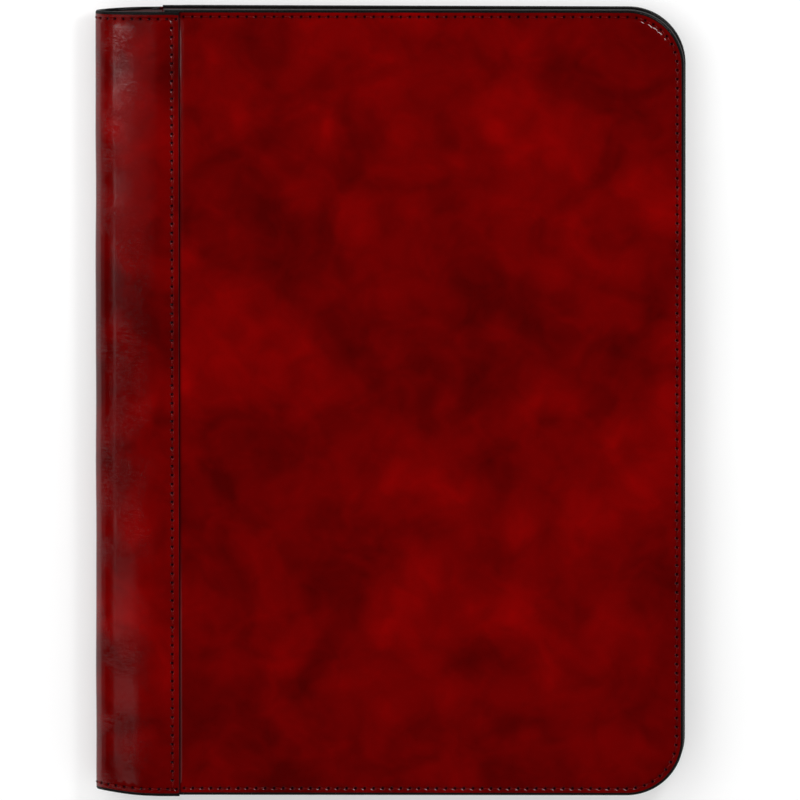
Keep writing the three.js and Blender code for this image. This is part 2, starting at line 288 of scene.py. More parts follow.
def store_painted_shade(piece, amounts):
    """How much painted shade each point takes, for the material: painted shade in needle holes and a
    painted shadow along the edge of the spine's strip.
    """
    attribute = piece.data.attributes.new("dark", "FLOAT", "POINT")
    attribute.data.foreach_set("value", np.asarray(amounts, np.float32).ravel())


def near_holes(flat, holes):
    """From 1 at a needle hole to 0 at its rim and beyond, for flat points."""
    tree = KDTree(len(holes))
    for number, hole in enumerate(holes):
        tree.insert((hole[0], hole[1], 0), number)
    tree.balance()
    away = np.array([tree.find((x, y, 0))[2] for x, y in flat])
    return 1 - smoothstep(0.35, 0.85, away)


def set_outward_normals(mesh, outward):
    """Gives the corners of faces whose points all have an outward direction those normals.
    The others keep their own, so a sheet cut in two shades as one."""
    known = np.linalg.norm(outward, axis=1) > 0
    loops = np.zeros(len(mesh.loops), np.int32)
    mesh.loops.foreach_get("vertex_index", loops)
    normals = outward[loops].copy()
    for polygon in mesh.polygons:
        if not all(known[v] for v in polygon.vertices):
            for loop in polygon.loop_indices:
                normals[loop] = 0
    mesh.normals_split_custom_set(normals.tolist())


def loft(sections, closed=False):
    """Points and faces of a tube through sections of shape (stations, points round, 3)."""
    sections = np.asarray(sections, float)
    stations, around = sections.shape[:2]
    index = np.arange(stations * around).reshape(stations, around)
    rows = np.vstack([index, index[:1]]) if closed else index
    first, second = rows[:-1], rows[1:]
    quads = np.stack([first, np.roll(first, -1, 1), np.roll(second, -1, 1), second], axis=-1)
    faces = quads.reshape(-1, 4).tolist()
    if not closed:
        faces.append(index[0][::-1].tolist())
        faces.append(index[-1].tolist())
    return sections.reshape(-1, 3), faces


def merged(parts):
    """Several (points, faces) pairs as one."""
    points, faces, count = [], [], 0
    for part_points, part_faces in parts:
        points.append(part_points)
        faces.extend([[v + count for v in face] for face in part_faces])
        count += len(part_points)
    return np.concatenate(points), faces


def close_below(points, faces, bottom):
    """Turns an open sheet into a closed one: its rim goes down to a depth and is filled there."""
    bm = bmesh.new()
    verts = [bm.verts.new(p) for p in points]
    for face in faces:
        bm.faces.new([verts[v] for v in face])
    bmesh.ops.remove_doubles(bm, verts=bm.verts, dist=0.002)
    rim = [e for e in bm.edges if e.is_boundary]
    made = bmesh.ops.extrude_edge_only(bm, edges=rim)["geom"]
    lowered = [g for g in made if isinstance(g, bmesh.types.BMVert)]
    for vert in lowered:
        vert.co.z = bottom
    bmesh.ops.contextual_create(bm, geom=rim_edges_of(made, lowered))
    bm.verts.index_update()
    result = np.array([v.co[:] for v in bm.verts])
    result_faces = [[v.index for v in f.verts] for f in bm.faces]
    bm.free()
    return result, result_faces


def rim_edges_of(made, lowered):
    chosen = set(lowered)
    edges = [g for g in made if isinstance(g, bmesh.types.BMEdge)]
    return [e for e in edges if e.verts[0] in chosen and e.verts[1] in chosen]


def sheet_from_outline(outline, insets, spacing, height, bottom):
    """A closed sheet over an outline, which is a function of inset. height gives the top."""
    rings = [np.asarray(outline(inset), float) for inset in insets]
    low, high = rings[0].min(0), rings[0].max(0)
    grid_x = np.arange(low[0] + spacing / 2, high[0], spacing)
    grid_y = np.arange(low[1] + spacing / 2, high[1], spacing)
    grid = [(x, y) for x in grid_x for y in grid_y if inside((x, y), rings[-1])]
    points = [Vector(p) for ring in rings for p in ring] + [Vector(p) for p in grid]
    edges, start = [], 0
    for ring in rings:
        count = len(ring)
        edges.extend([(start + i, start + (i + 1) % count) for i in range(count)])
        start += count
    outer_face = list(range(len(rings[0])))
    verts, _, faces, *_ = delaunay_2d_cdt(points, edges, [outer_face], 1, 1e-5)
    flat = np.array([(v[0], v[1]) for v in verts])
    top = np.column_stack([flat, height(flat[:, 0], flat[:, 1])])
    return close_below(top, faces, bottom)


def inside(point, polygon):
    x, y = point
    a = polygon
    b = np.roll(polygon, -1, axis=0)
    crosses = (a[:, 1] > y) != (b[:, 1] > y)
    span = np.where(b[:, 1] == a[:, 1], 1, b[:, 1] - a[:, 1])
    at = a[:, 0] + (y - a[:, 1]) / span * (b[:, 0] - a[:, 0])
    return np.count_nonzero(crosses & (at > x + 2)) % 2 == 1


# ---- Materials ----


class Shader:
    """A material's node tree, with short ways to add nodes to it."""

    def __init__(self, name, attribute=True):
        self.material = bpy.data.materials.new(name)
        self.material.use_nodes = True
        self.tree = self.material.node_tree
        self.shader = self.tree.nodes["Principled BSDF"]
        if attribute:
            self.coords = self.add("Attribute", attribute_name="rest").outputs["Vector"]
        else:
            self.coords = self.add("TexCoord").outputs["Object"]

    def add(self, kind, links=None, **settings):
        node = self.tree.nodes.new("ShaderNode" + kind)
        for key, value in settings.items():
            setattr(node, key, value)
        for key, value in (links or {}).items():
            if isinstance(value, bpy.types.NodeSocket):
                self.tree.links.new(value, node.inputs[key])
            else:
                node.inputs[key].default_value = value
        return node

    def set(self, **inputs):
        for key, value in inputs.items():
            socket = self.shader.inputs[key.replace("_", " ")]
            if isinstance(value, bpy.types.NodeSocket):
                self.tree.links.new(value, socket)
            else:
                socket.default_value = value

    def noise(self, scale, detail=3, roughness=0.5, distortion=0.0, stretch=(1, 1, 1)):
        links = {
            "Vector": self.stretched(stretch),
            "Scale": scale,
            "Detail": detail,
            "Roughness": roughness,
            "Distortion": distortion,
        }
        return self.add("TexNoise", links).outputs["Fac"]

    def cells(self, scale, feature="F1"):
        links = {"Vector": self.coords, "Scale": scale}
        return self.add("TexVoronoi", links, feature=feature).outputs["Distance"]

    def stretched(self, stretch):
        if tuple(stretch) == (1, 1, 1):
            return self.coords
        links = {"Vector": self.coords, "Scale": stretch}
        return self.add("Mapping", links).outputs["Vector"]

    def math(self, operation, first, second=0.0, third=0.0):
        node = self.add("Math", {0: first, 1: second, 2: third}, operation=operation)
        return node.outputs["Value"]

    def mapped(self, value, low, high, to_low=0.0, to_high=1.0):
        links = {
            "Value": value,
            "From Min": low,
            "From Max": high,
            "To Min": to_low,
            "To Max": to_high,
        }
        return self.add("MapRange", links, interpolation_type="SMOOTHSTEP").outputs["Result"]

    def ramp(self, value, stops):
        node = self.add("ValToRGB", {"Fac": value})
        elements = node.color_ramp.elements
        while len(elements) < len(stops):
            elements.new(0.5)
        for element, (position, colour) in zip(elements, stops):
            element.position = position
            element.color = (*colour, 1)
        return node.outputs["Color"]

    def mix(self, factor, first, second):
        node = self.add("Mix", {"Factor": factor}, data_type="RGBA")
        for socket, value in ((node.inputs[6], first), (node.inputs[7], second)):
            if isinstance(value, bpy.types.NodeSocket):
                self.tree.links.new(value, socket)
            else:
                socket.default_value = (*value, 1)
        return node.outputs[2]

    def axis(self, name):
        return self.add("SeparateXYZ", {"Vector": self.coords}).outputs[name]

    def bump(self, height, distance, under=None):
        """Bump from a height of 0 to 1, which is a distance in metres deep."""
        links = {"Height": height, "Distance": distance, "Strength": 1.0}
        if under is not None:
            links["Normal"] = under
        return self.add("Bump", links).outputs["Normal"]


def glazed_leather(name, creased):
    """Vegetable-tanned leather, aniline dyed and glazed: cloudy reds under a hard gloss."""
    s = Shader(name)
    clouds = s.noise(9, 2, 0.5, 0.6)
    patches = s.noise(26, 3, 0.5, 0.8)
    smudges = s.noise(70, 3, 0.55, 0.6)
    tone = s.math("MULTIPLY_ADD", clouds, 0.36, s.math("MULTIPLY", patches, 0.42))
    tone = s.math("MULTIPLY_ADD", smudges, 0.22, tone)
    if creased:
        tone = s.math("SUBTRACT", tone, 0.02)
    else:
        # A lighter red towards the fore edge, mostly towards the top.
        by_edge = s.mapped(s.axis("X"), -0.09, 0.125)
        towards_top = s.mapped(s.axis("Y"), -0.12, 0.12, 0.4, 1.0)
        tone = s.math("MULTIPLY_ADD", s.math("MULTIPLY", by_edge, towards_top), 0.055, tone)
        tone = s.math("SUBTRACT", tone, 0.028)
    colour = s.ramp(
        tone,
        [
            (0.37, (0.062, 0.0, 0.0)),
            (0.45, (0.098, 0.0, 0.0)),
            (0.53, (0.136, 0.0, 0.0)),
            (0.64, (0.215, 0.0, 0.0)),
        ],
    )
    # Painted shade in needle holes and a painted shadow along the spine strip's edge: the dark attribute
    # mixes the leather to near black.
    dark = s.add("Attribute", attribute_name="dark").outputs["Fac"]
    colour = s.mix(dark, colour, (0.012, 0.0, 0.001))
    pores = s.mapped(s.cells(1500), 0.0, 0.25)
    grain = s.noise(2100, 2, 0.6)
    waves = s.noise(95, 2, 0.5)
    normal = s.bump(waves, 0.00007)
    if creased:
        # Fine creases run round the bend, in patches.
        lines = s.noise(1000, 3, 0.62, 1.4, stretch=(0.22, 1.0, 1.0))
        ridges = s.mapped(s.math("ABSOLUTE", s.math("SUBTRACT", lines, 0.5)), 0.0, 0.07)
        where = s.mapped(s.noise(60, 2, 0.5), 0.42, 0.64, 0.12, 1.0)
        along = s.axis("X")
        fold = s.mapped(along, 0.012, 0.026)
        past = s.mapped(along, 0.068, 0.056)
        amount = s.math("MULTIPLY", where, s.math("MULTIPLY", fold, past))
        creases = s.math("MULTIPLY", s.math("SUBTRACT", 1.0, ridges), amount)
        normal = s.bump(s.math("MULTIPLY", creases, -1.0), 0.000028, normal)
    surface = s.math("MULTIPLY_ADD", pores, 0.5, s.math("MULTIPLY", grain, 0.5))
    normal = s.bump(surface, 0.000006, normal)
    roughness = s.mapped(s.noise(120, 4, 0.6), 0.3, 0.7, 0.26, 0.36)
    s.set(Base_Color=colour, Roughness=roughness, Normal=normal, Coat_Normal=normal)
    s.set(Coat_Weight=0.6, Coat_Roughness=0.09, Coat_IOR=1.5, Specular_IOR_Level=0.0)
    return s.material


def painted_edge():
    """Black edge paint: burnished coats with a few slow ripples in them."""
    s = Shader("black_edge_paint")
    ripple = s.noise(260, 3, 0.55)
    dust = s.noise(1900, 2, 0.7)
    colour = s.ramp(dust, [(0.4, (0.0035, 0.0030, 0.0030)), (0.75, (0.010, 0.009, 0.0085))])
    normal = s.bump(ripple, 0.00016)
    normal = s.bump(dust, 0.000012, normal)
    s.set(Base_Color=colour, Normal=normal, Roughness=s.mapped(ripple, 0.3, 0.7, 0.28, 0.42))
    s.set(Coat_Weight=0.25, Coat_Roughness=0.2, Specular_IOR_Level=0.0, Coat_Normal=normal)
    return s.material


def waxed_thread():
    """Red waxed thread of two plies: rest holds (along, round, number) of each stitch."""
    s = Shader("red_waxed_thread")
    along, around, number = s.axis("X"), s.axis("Y"), s.axis("Z")
    phase = s.math("MULTIPLY_ADD", along, 9000.0, s.math("MULTIPLY", around, 1000.0))
    plies = s.math("MULTIPLY_ADD", s.math("SINE", phase), 0.5, 0.5)
    stitch_tone = s.math("FRACT", s.math("MULTIPLY", number, 617.3))
    # The grooves between the plies are painted darker than the crowns, as painted shade; each stitch also
    # gets its own random tone.
    tone = s.math("MULTIPLY_ADD", plies, 0.55, s.math("MULTIPLY", stitch_tone, 0.45))
    colour = s.ramp(tone, [(0.1, (0.050, 0.0, 0.0)), (0.9, (0.17, 0.001, 0.001))])
    s.set(Base_Color=colour, Normal=s.bump(plies, 0.00005), Roughness=0.38)
    s.set(Coat_Weight=0.3, Coat_Roughness=0.2, Specular_IOR_Level=0.0)
    return s.material


def inner_leather():
    """Softer, lightly grained red leather for the pockets inside."""
    s = Shader("red_inner_leather")
    clouds = s.noise(24, 3, 0.55, 0.6)
    cells = s.cells(620)
    creases = s.mapped(s.cells(620, "DISTANCE_TO_EDGE"), 0.0, 0.10)
    fine = s.noise(1500, 2, 0.6)
    tone = s.math("MULTIPLY_ADD", clouds, 0.75, s.math("MULTIPLY", cells, 0.2))
    colour = s.ramp(
        tone,
        [
            (0.3, (0.055, 0.0015, 0.0015)),
            (0.5, (0.095, 0.003, 0.003)),
            (0.75, (0.14, 0.005, 0.005)),
        ],
    )
    normal = s.bump(s.math("MULTIPLY_ADD", fine, 0.2, creases), 0.00006)
    s.set(Base_Color=colour, Normal=normal, Roughness=s.mapped(fine, 0.3, 0.7, 0.42, 0.55))
    s.set(Coat_Weight=0.12, Coat_Roughness=0.3)
    return s.material


def lining_leather():
    """The matt, brushed dark red split leather that lines the covers and the spine."""
    s = Shader("dark_red_lining_leather")
    clouds = s.noise(30, 3, 0.6)
    fibres = s.noise(2400, 4, 0.7, 0.6, stretch=(1.0, 0.45, 1.0))
    tone = s.math("MULTIPLY_ADD", clouds, 0.5, s.math("MULTIPLY", fibres, 0.5))
    colour = s.ramp(
        tone,
        [
            (0.3, (0.030, 0.0012, 0.0014)),
            (0.5, (0.052, 0.002, 0.002)),
            (0.7, (0.078, 0.0035, 0.0035)),
        ],
    )
    s.set(Base_Color=colour, Normal=s.bump(fibres, 0.00005), Roughness=0.78)
    s.set(Sheen_Weight=0.15, Sheen_Roughness=0.5)
    return s.material


def greyboard(name, attribute):
    s = Shader(name, attribute)
    fibres = s.noise(1100, 4, 0.7, 0.8, stretch=(1.0, 0.4, 1.0))
    flecks = s.mapped(s.noise(3200, 2, 0.5), 0.66, 0.74)
    board = s.ramp(fibres, [(0.3, (0.20, 0.17, 0.14)), (0.7, (0.36, 0.32, 0.27))])
    colour = s.mix(flecks, board, (0.12, 0.10, 0.085))
    s.set(Base_Color=colour, Normal=s.bump(fibres, 0.00004), Roughness=0.85)
    return s.material


def ruled_paper():
    """Off-white paper with faint ruled lines on its face."""
    s = Shader("ruled_paper")
    fibres = s.noise(1500, 4, 0.65)
    paper = s.ramp(fibres, [(0.3, (0.80, 0.78, 0.71)), (0.7, (0.88, 0.865, 0.80))])
    line_pitch = 0.008
    up = s.math("DIVIDE", s.axis("Y"), line_pitch)
    to_line = s.math("ABSOLUTE", s.math("SUBTRACT", s.math("FRACT", s.math("ADD", up, 40.0)), 0.5))
    rule = s.mapped(to_line, 0.012, 0.022, 1.0, 0.0)
    head = s.mapped(s.axis("Y"), 0.1085, 0.1090, 1.0, 0.0)
    ruled = s.mix(s.math("MULTIPLY", rule, head), paper, (0.42, 0.52, 0.66))
    s.set(Base_Color=ruled, Normal=s.bump(fibres, 0.00002), Roughness=0.82)
    return s.material


def binding_cloth():
    """Black book cloth: a plain weave under a dull size."""
    s = Shader("black_binding_cloth")
    x = s.math("SINE", s.math("MULTIPLY", s.axis("X"), 11000.0))
    y = s.math("SINE", s.math("MULTIPLY", s.axis("Y"), 11000.0))
    weave = s.math("MULTIPLY_ADD", s.math("MULTIPLY", x, y), 0.5, 0.5)
    # Where the weave dips the cloth is painted darker: painted shade in the hollows of the weave.
    colour = s.ramp(weave, [(0.1, (0.006, 0.006, 0.007)), (0.9, (0.022, 0.022, 0.024))])
    s.set(Base_Color=colour, Normal=s.bump(weave, 0.00006), Roughness=0.62)
    return s.material


def foam():
    s = Shader("cover_foam")
    pores = s.cells(1400)
    # The pits of the pores are painted darker: painted shade in the hollows.
    colour = s.ramp(pores, [(0.1, (0.16, 0.15, 0.14)), (0.6, (0.34, 0.32, 0.30))])
    s.set(Base_Color=colour, Normal=s.bump(pores, 0.0002), Roughness=0.95)
    return s.material


COVER_LEATHER = glazed_leather("red_glazed_leather", False)
SPINE_LEATHER = glazed_leather("red_glazed_spine_leather", True)
EDGE_PAINT = painted_edge()
THREAD = waxed_thread()
INNER_LEATHER = inner_leather()
LINING_LEATHER = lining_leather()
BOARD = greyboard("pad_greyboard", True)
CAD_BOARD = greyboard("cover_greyboard", False)
PAPER = ruled_paper()
TAPE = binding_cloth()
FOAM = foam()

# ---- Stitches ----

THREAD_RADIUS = 0.27
STITCH_SINK = 0.4
STITCH_RISE = 0.5
STITCH_SLANT = 0.14
STITCH_SHARES = (0.16, 0.84)
STITCH_STATIONS = 7
STITCH_SIDES = 6


class StitchLines:
    """Gathers stitches as small sunk arches of thread, and makes one piece of them."""

    def __init__(self):
        self.parts = []
        self.rest = []

    def add(self, holes, frame_at):
        """A stitch between each two holes. frame_at gives points, across and outward."""
        for first, second in zip(holes[:-1], holes[1:]):
            share = np.linspace(*STITCH_SHARES, STITCH_STATIONS)
            along = first + (second - first) * share
            middle, across, out = frame_at(along)
            lift = -STITCH_SINK + STITCH_RISE * np.sin(math.pi * share) ** 0.55
            lift = lift + rng.normal(0, 0.015)
            slant = STITCH_SLANT + rng.normal(0, 0.03)
            centre = middle + out * lift[:, None] + across * (slant * (2 * share - 1))[:, None]
            angle = np.linspace(0, 2 * math.pi, STITCH_SIDES, endpoint=False)
            taper = (1 - 0.35 * np.abs(2 * share - 1) ** 3)[:, None, None]
            ring = across[:, None] * np.cos(angle)[None, :, None]
            ring = ring + out[:, None] * (0.85 * np.sin(angle))[None, :, None]
            self.parts.append(loft(centre[:, None] + ring * THREAD_RADIUS * taper))
            length = abs(second - first)
            number = np.full((STITCH_STATIONS, STITCH_SIDES), float(len(self.parts)))
            local = np.broadcast_to((share * length)[:, None], number.shape)
            turn = np.broadcast_to(angle[None], number.shape)
            self.rest.append(np.stack([local, turn, number], axis=-1).reshape(-1, 3))

    def make(self, name):
        points, faces = merged(self.parts)
        piece = make_piece(name, points, faces, THREAD, np.concatenate(self.rest), sharp=70)
        return piece


def hole_dents(along, across, holes_from, holes_to, pitch):
    """The relief, in millimetres, that a line of stitches pulls into leather."""
    phase = (along - holes_from) / pitch
    near = (phase - np.round(phase)) * pitch
    on_line = smoothstep(holes_from - 0.6, holes_from - 0.2, along)
    on_line = on_line * (1 - smoothstep(holes_to + 0.2, holes_to + 0.6, along))
    groove = -0.17 * np.exp(-((across / 0.5) ** 2))
    holes = -0.75 * np.exp(-((across / 0.55) ** 2) - (near / 0.55) ** 2)
    return (groove + holes) * on_line


def edge_relief(inset):
    """The rounded, burnished rim of a sheet of leather."""
    rounding = 0.6
    share = np.clip(1 - inset / rounding, 0, 1)
    edge = -rounding * (1 - np.sqrt(1 - share**2))
    return edge - 0.10 * (1 - smoothstep(rounding, 2.0, inset))


# ---- The covers' leather ----

FINE_INSETS = [0, 0.05, 0.18, 0.4, 0.75, 1.2, 1.8, 2.2, 2.5, 2.8, 3.1, 3.4, 3.9, 4.6, 5.5]
COARSE_INSETS = [7, 9, 12, 16, 20, CORNER_RADIUS]
PITCH_SHARES = [0, 0.08, 0.2, 0.5, 0.8, 0.92]
FLAP_STEPS = [4.4, 2.3, 1.95, 1.65, 1.2, 0.6]
CLOSE_PITCHES = 3
OFF_THE_SEAM_S = -50.0
DOME = 0.22

border = BorderLine(BORDER_START_X, STITCH_INSET)
BORDER_STITCHES = round(border.length / STITCH_PITCH)
BORDER_PITCH = border.length / BORDER_STITCHES


def ripple(x, y):
    """Slow waves in a panel, so that its gloss isn't a mirror's."""
    slow = np.sin(x / 23 + 0.7) * np.cos(y / 31 - 0.4) + 0.6 * np.sin(x / 41 - y / 37 + 2.1)
    quick = 0.35 * np.sin(x / 11 + y / 17) * np.cos(y / 13 - 1.1)
    return 0.035 * (slow + quick)


def panel_height(x, y, inset, s):
    """The height of a cover's leather over its flat, in millimetres, outwards."""
    height = edge_relief(inset)
    height = height + hole_dents(s, inset - STITCH_INSET, 0, border.length, BORDER_PITCH)
    from_wrap = np.clip(x - (FLAP_EDGE_X + 0.1), 0, None)
    shoulder = (1 - np.exp(-np.clip(inset - 2.95, 0, None) / 1.25)) * (1 - np.exp(-from_wrap / 1.0))
    height = height + PILLOW * shoulder
    middle_x = (EDGE_X + FLAP_EDGE_X) / 2
    across = np.clip((x - middle_x) / (EDGE_X - middle_x), -1, 1)
    up = np.clip(y / EDGE_Y, -1, 1)
    fade = smoothstep(5, 24, inset) * smoothstep(2, 20, from_wrap)
    return height + DOME * (1 - across**2) * (1 - up**2) * shoulder + ripple(x, y) * fade


def leather_columns(spine_x):
    """Lengths along the border line where the mesh has columns, and which go right across."""
    before = [BORDER_START_X - spine_x] + FLAP_STEPS
    lengths = [-step for step in before]
    across = [True] * len(before)
    for stitch in range(BORDER_STITCHES):
        close = stitch < CLOSE_PITCHES or stitch >= BORDER_STITCHES - CLOSE_PITCHES
        for share in PITCH_SHARES:
            lengths.append((stitch + share) * BORDER_PITCH)
            across.append(close or share == 0)
    lengths.append(border.length)
    across.append(True)
    lengths.extend([border.length + step for step in reversed(before)])
    across.extend([True] * len(before))
    return np.array(lengths), np.array(across)


def under_wrap(x):
    """From 1 under the spine's strip, where the back panel steps in, to 0 beside it."""
    return 1 - smoothstep(FLAP_EDGE_X - 0.2, FLAP_EDGE_X + 0.25, x)


def leather_sheet(cover):
    """Points (x, y, depth) and faces of a cover's leather, closed."""
    lengths, across = leather_columns(cover.spine_x)
    long_columns = np.flatnonzero(across)
    points, faces = [], []

    def ring(inset, columns):
        s = lengths[columns]
        x, y, _ = border.at(s, inset)
        height = panel_height(x, y, np.full_like(x, inset), s)
        start = sum(len(p) for p in points)
        points.append(np.column_stack([x, y, cover.face - height]))
        return start + np.arange(len(columns))

    every = np.arange(len(lengths))
    rings = [ring(inset, every) for inset in FINE_INSETS]
    for low, high in zip(rings[:-1], rings[1:]):
        faces.extend(np.stack([low[:-1], low[1:], high[1:], high[:-1]], axis=-1).tolist())
    coarse = [ring(inset, long_columns) for inset in COARSE_INSETS]
    for place in range(len(long_columns) - 1):
        first, last = long_columns[place], long_columns[place + 1]
        face = rings[-1][first : last + 1].tolist() + [coarse[0][place + 1], coarse[0][place]]
        faces.append([int(v) for v in face])
    for low, high in zip(coarse[:-1], coarse[1:]):
        faces.extend(np.stack([low[:-1], low[1:], high[1:], high[:-1]], axis=-1).tolist())

    inner_x, inner_y, _ = border.at(lengths[long_columns], float(CORNER_RADIUS))
    xs = np.unique(np.round(inner_x, 5))
    ys = np.unique(np.round(inner_y, 5))
    grid_x, grid_y = np.meshgrid(xs, ys, indexing="ij")
    deep = np.full_like(grid_x, float(CORNER_RADIUS))
    off_the_seam = np.full_like(grid_x, OFF_THE_SEAM_S)
    height = panel_height(grid_x, grid_y, deep, off_the_seam)
    start = sum(len(p) for p in points)
    points.append(np.stack([grid_x, grid_y, cover.face - height], axis=-1).reshape(-1, 3))
    index = start + np.arange(grid_x.size).reshape(grid_x.shape)
    quads = np.stack([index[:-1, :-1], index[1:, :-1], index[1:, 1:], index[:-1, 1:]], axis=-1)
    faces.extend(quads.reshape(-1, 4).tolist())

    every_point = np.concatenate(points)
    step = 0
    if cover is BACK:
        # The back panel steps in under the wrap, so that the case lies flat.
        step = WRAP_STEP
        every_point[:, 2] += step * under_wrap(every_point[:, 0])
    return close_below(every_point, faces, cover.face + LEATHER + step)


def make_cover_leather(cover):
    points, faces = leather_sheet(cover)
    name = f"{cover.name}_cover_glazed_leather"
    piece = make_piece(name, cover.place(points), faces, COVER_LEATHER, points)
    # Painted shade in the needle holes, and a painted shadow on the panel beside the edge of the spine's
    # strip.
    hole_x, hole_y, _ = border.at(BORDER_PITCH * np.arange(BORDER_STITCHES + 1), STITCH_INSET)
    holes = near_holes(points[:, :2], np.column_stack([hole_x, hole_y]))
    wrap_edge_shadow = 1 - smoothstep(0.1, 0.9, points[:, 0] - FLAP_EDGE_X)
    store_painted_shade(piece, np.maximum(holes, 0.85 * wrap_edge_shadow))
    settle(piece, cover.body, f"{cover.name}_cover_leather")


# ---- Painted edges ----

EDGE_STATION = 2.5


def paint_section(depth):
    """A loop of (inset, depth below the face) round a painted edge of a whole thickness."""
    lips = [1.08, 0.9, 0.6, 0.35, 0.15, 0.03]
    face = [(inset, -float(edge_relief(np.array(inset))) - 0.05) for inset in lips]
    face[0] = (lips[0], -float(edge_relief(np.array(lips[0]))) + 0.02)
    crowns = []
    for share, out in [
        (0.16, 0.12), (0.24, 0.17), (0.28, 0.12), (0.33, 0.19), (0.45, 0.25), (0.58, 0.26),
        (0.70, 0.20), (0.745, 0.12), (0.79, 0.18), (0.88, 0.14), (0.95, 0.03),
    ]:
        crowns.append((-out, depth * share))
    under = [(0.12, depth * 0.985), (0.4, depth + 0.03), (0.8, depth + 0.05), (1.0, depth - 0.02)]
    inner = [(1.25, depth - 0.35), (1.4, depth * 0.5), (1.3, 0.45)]
    return np.array(face + crowns + under + inner)


def make_cover_edge(cover):
    """The painted edge that runs round a cover's three free sides."""
    lead = BORDER_START_X - cover.spine_x
    straight = np.arange(-lead, border.run, EDGE_STATION)
    turn = np.linspace(border.run, border.run + border.turn, 26)
    side = np.arange(border.run + border.turn + EDGE_STATION, border.length / 2, EDGE_STATION)
    half = np.concatenate([straight, turn, side])
    lengths = np.concatenate([half, [border.length / 2], border.length - half[::-1]])
    section = paint_section(COVER_STACK)
    wobble = 0.035 * np.sin(lengths / 3.1) * np.sin(lengths / 7.7 + 1.0)
    inset = section[None, :, 0] + wobble[:, None] * (section[None, :, 0] > 0.7)
    x, y, _ = border.at(lengths[:, None], inset)
    depth = cover.face + section[None, :, 1] + 0 * x
    points, faces = loft(np.stack([x, y, depth], axis=-1))
    if cover is BACK:
        near_face = 1 - smoothstep(1.2, 3.2, points[:, 2])
        points[:, 2] += WRAP_STEP * under_wrap(points[:, 0]) * near_face
    name = f"{cover.name}_cover_painted_edge"
    piece = make_piece(name, cover.place(points), faces, EDGE_PAINT, sharp=60)
    settle(piece, cover.body, f"{cover.name}_edge_welt")


# ---- The spine's strip ----

SEAM_STITCHES = round((2 * EDGE_Y - 2 * STITCH_INSET) / STITCH_PITCH)
SEAM_PITCH = (2 * EDGE_Y - 2 * STITCH_INSET) / SEAM_STITCHES
SEAM_HOLES = -EDGE_Y + STITCH_INSET + SEAM_PITCH * np.arange(SEAM_STITCHES + 1)
BACK_SEAM_S = STRIP_START + SEAM_TO_EDGE
FRONT_SEAM_S = STRIP_END - SEAM_TO_EDGE
END_SEAM_MARGIN = 1.3
END_FROM = STRIP_START + END_SEAM_MARGIN
END_TO = STRIP_END - END_SEAM_MARGIN
END_STITCHES = round((END_TO - END_FROM) / STITCH_PITCH)
END_PITCH = (END_TO - END_FROM) / END_STITCHES
END_HOLES = END_FROM + END_PITCH * np.arange(END_STITCHES + 1)
EDGE_STEPS = np.array([0, 0.05, 0.18, 0.4, 0.75, 1.2, 1.8, 2.2, 2.5])


def spread(values, least):
    """Sorted values with none closer together than a least distance."""
    kept = []
    for value in sorted(values):
        if not kept or value - kept[-1] >= least:
            kept.append(float(value))
    return kept


def strip_rows():
    """Places up the page where the strip's mesh has rows."""
    rows = [y + share * SEAM_PITCH for y in SEAM_HOLES[:-1] for share in PITCH_SHARES]
    rows.append(SEAM_HOLES[-1])
    rows.extend(-EDGE_Y + EDGE_STEPS)
    rows.extend(EDGE_Y - EDGE_STEPS)
    return np.array(spread(rows, 0.04))


def strip_stations():
    """Lengths along the section where the strip's mesh has stations."""
    near_seam = np.array([-0.9, -0.5, -0.25, 0, 0.25, 0.5, 0.9])
    stations = list(STRIP_START + EDGE_STEPS)
    stations.extend(STRIP_END - EDGE_STEPS)
    stations.extend(BACK_SEAM_S + near_seam)
    stations.extend(FRONT_SEAM_S + near_seam)
    for hole in END_HOLES:
        stations.extend([hole - 0.35, hole, hole + 0.35])
        stations.extend([hole + END_PITCH * 0.3, hole + END_PITCH * 0.7])
    inner = [s for s in stations if STRIP_START <= s <= STRIP_END]
    near = [s for s in inner if min(abs(s - PARTING_S[1]), abs(s - PARTING_S[2])) > 0.12]
    return np.array(sorted(spread(near, 0.04) + [PARTING_S[1], PARTING_S[2]]))


def strip_height(s, y):
    """The relief of the strip's outer face."""
    from_end = EDGE_Y - np.abs(y)
    from_free_edge = np.minimum(s - STRIP_START, STRIP_END - s)
    height = edge_relief(from_end) + edge_relief(from_free_edge)
    for seam in (BACK_SEAM_S, FRONT_SEAM_S):
        height = height + hole_dents(y, s - seam, SEAM_HOLES[0], SEAM_HOLES[-1], SEAM_PITCH)
    height = height + hole_dents(s, from_end - STITCH_INSET, END_FROM, END_TO, END_PITCH)
    on_bend = smoothstep(3, 16, s) * (1 - smoothstep(SPINE_LENGTH - 14, SPINE_LENGTH - 2, s))
    body = on_bend * smoothstep(4, 14, from_end)
    soft = np.sin(y / 12.5 + 1.2 * np.sin(s / 13)) * np.sin(s / 9 + 0.6)
    soft = soft + 0.6 * np.sin(y / 7.3 - s / 17 + 0.8) + 0.5 * np.sin(y / 29 + 0.3)
    return height + 0.07 * soft * body


def strip_holes():
    """Every needle hole in the strip, as (length along the section, height up the page)."""
    seams = [(seam, y) for seam in (BACK_SEAM_S, FRONT_SEAM_S) for y in SEAM_HOLES]
    line = EDGE_Y - STITCH_INSET
    return seams + [(s, end * line) for s in END_HOLES for end in (1, -1)]


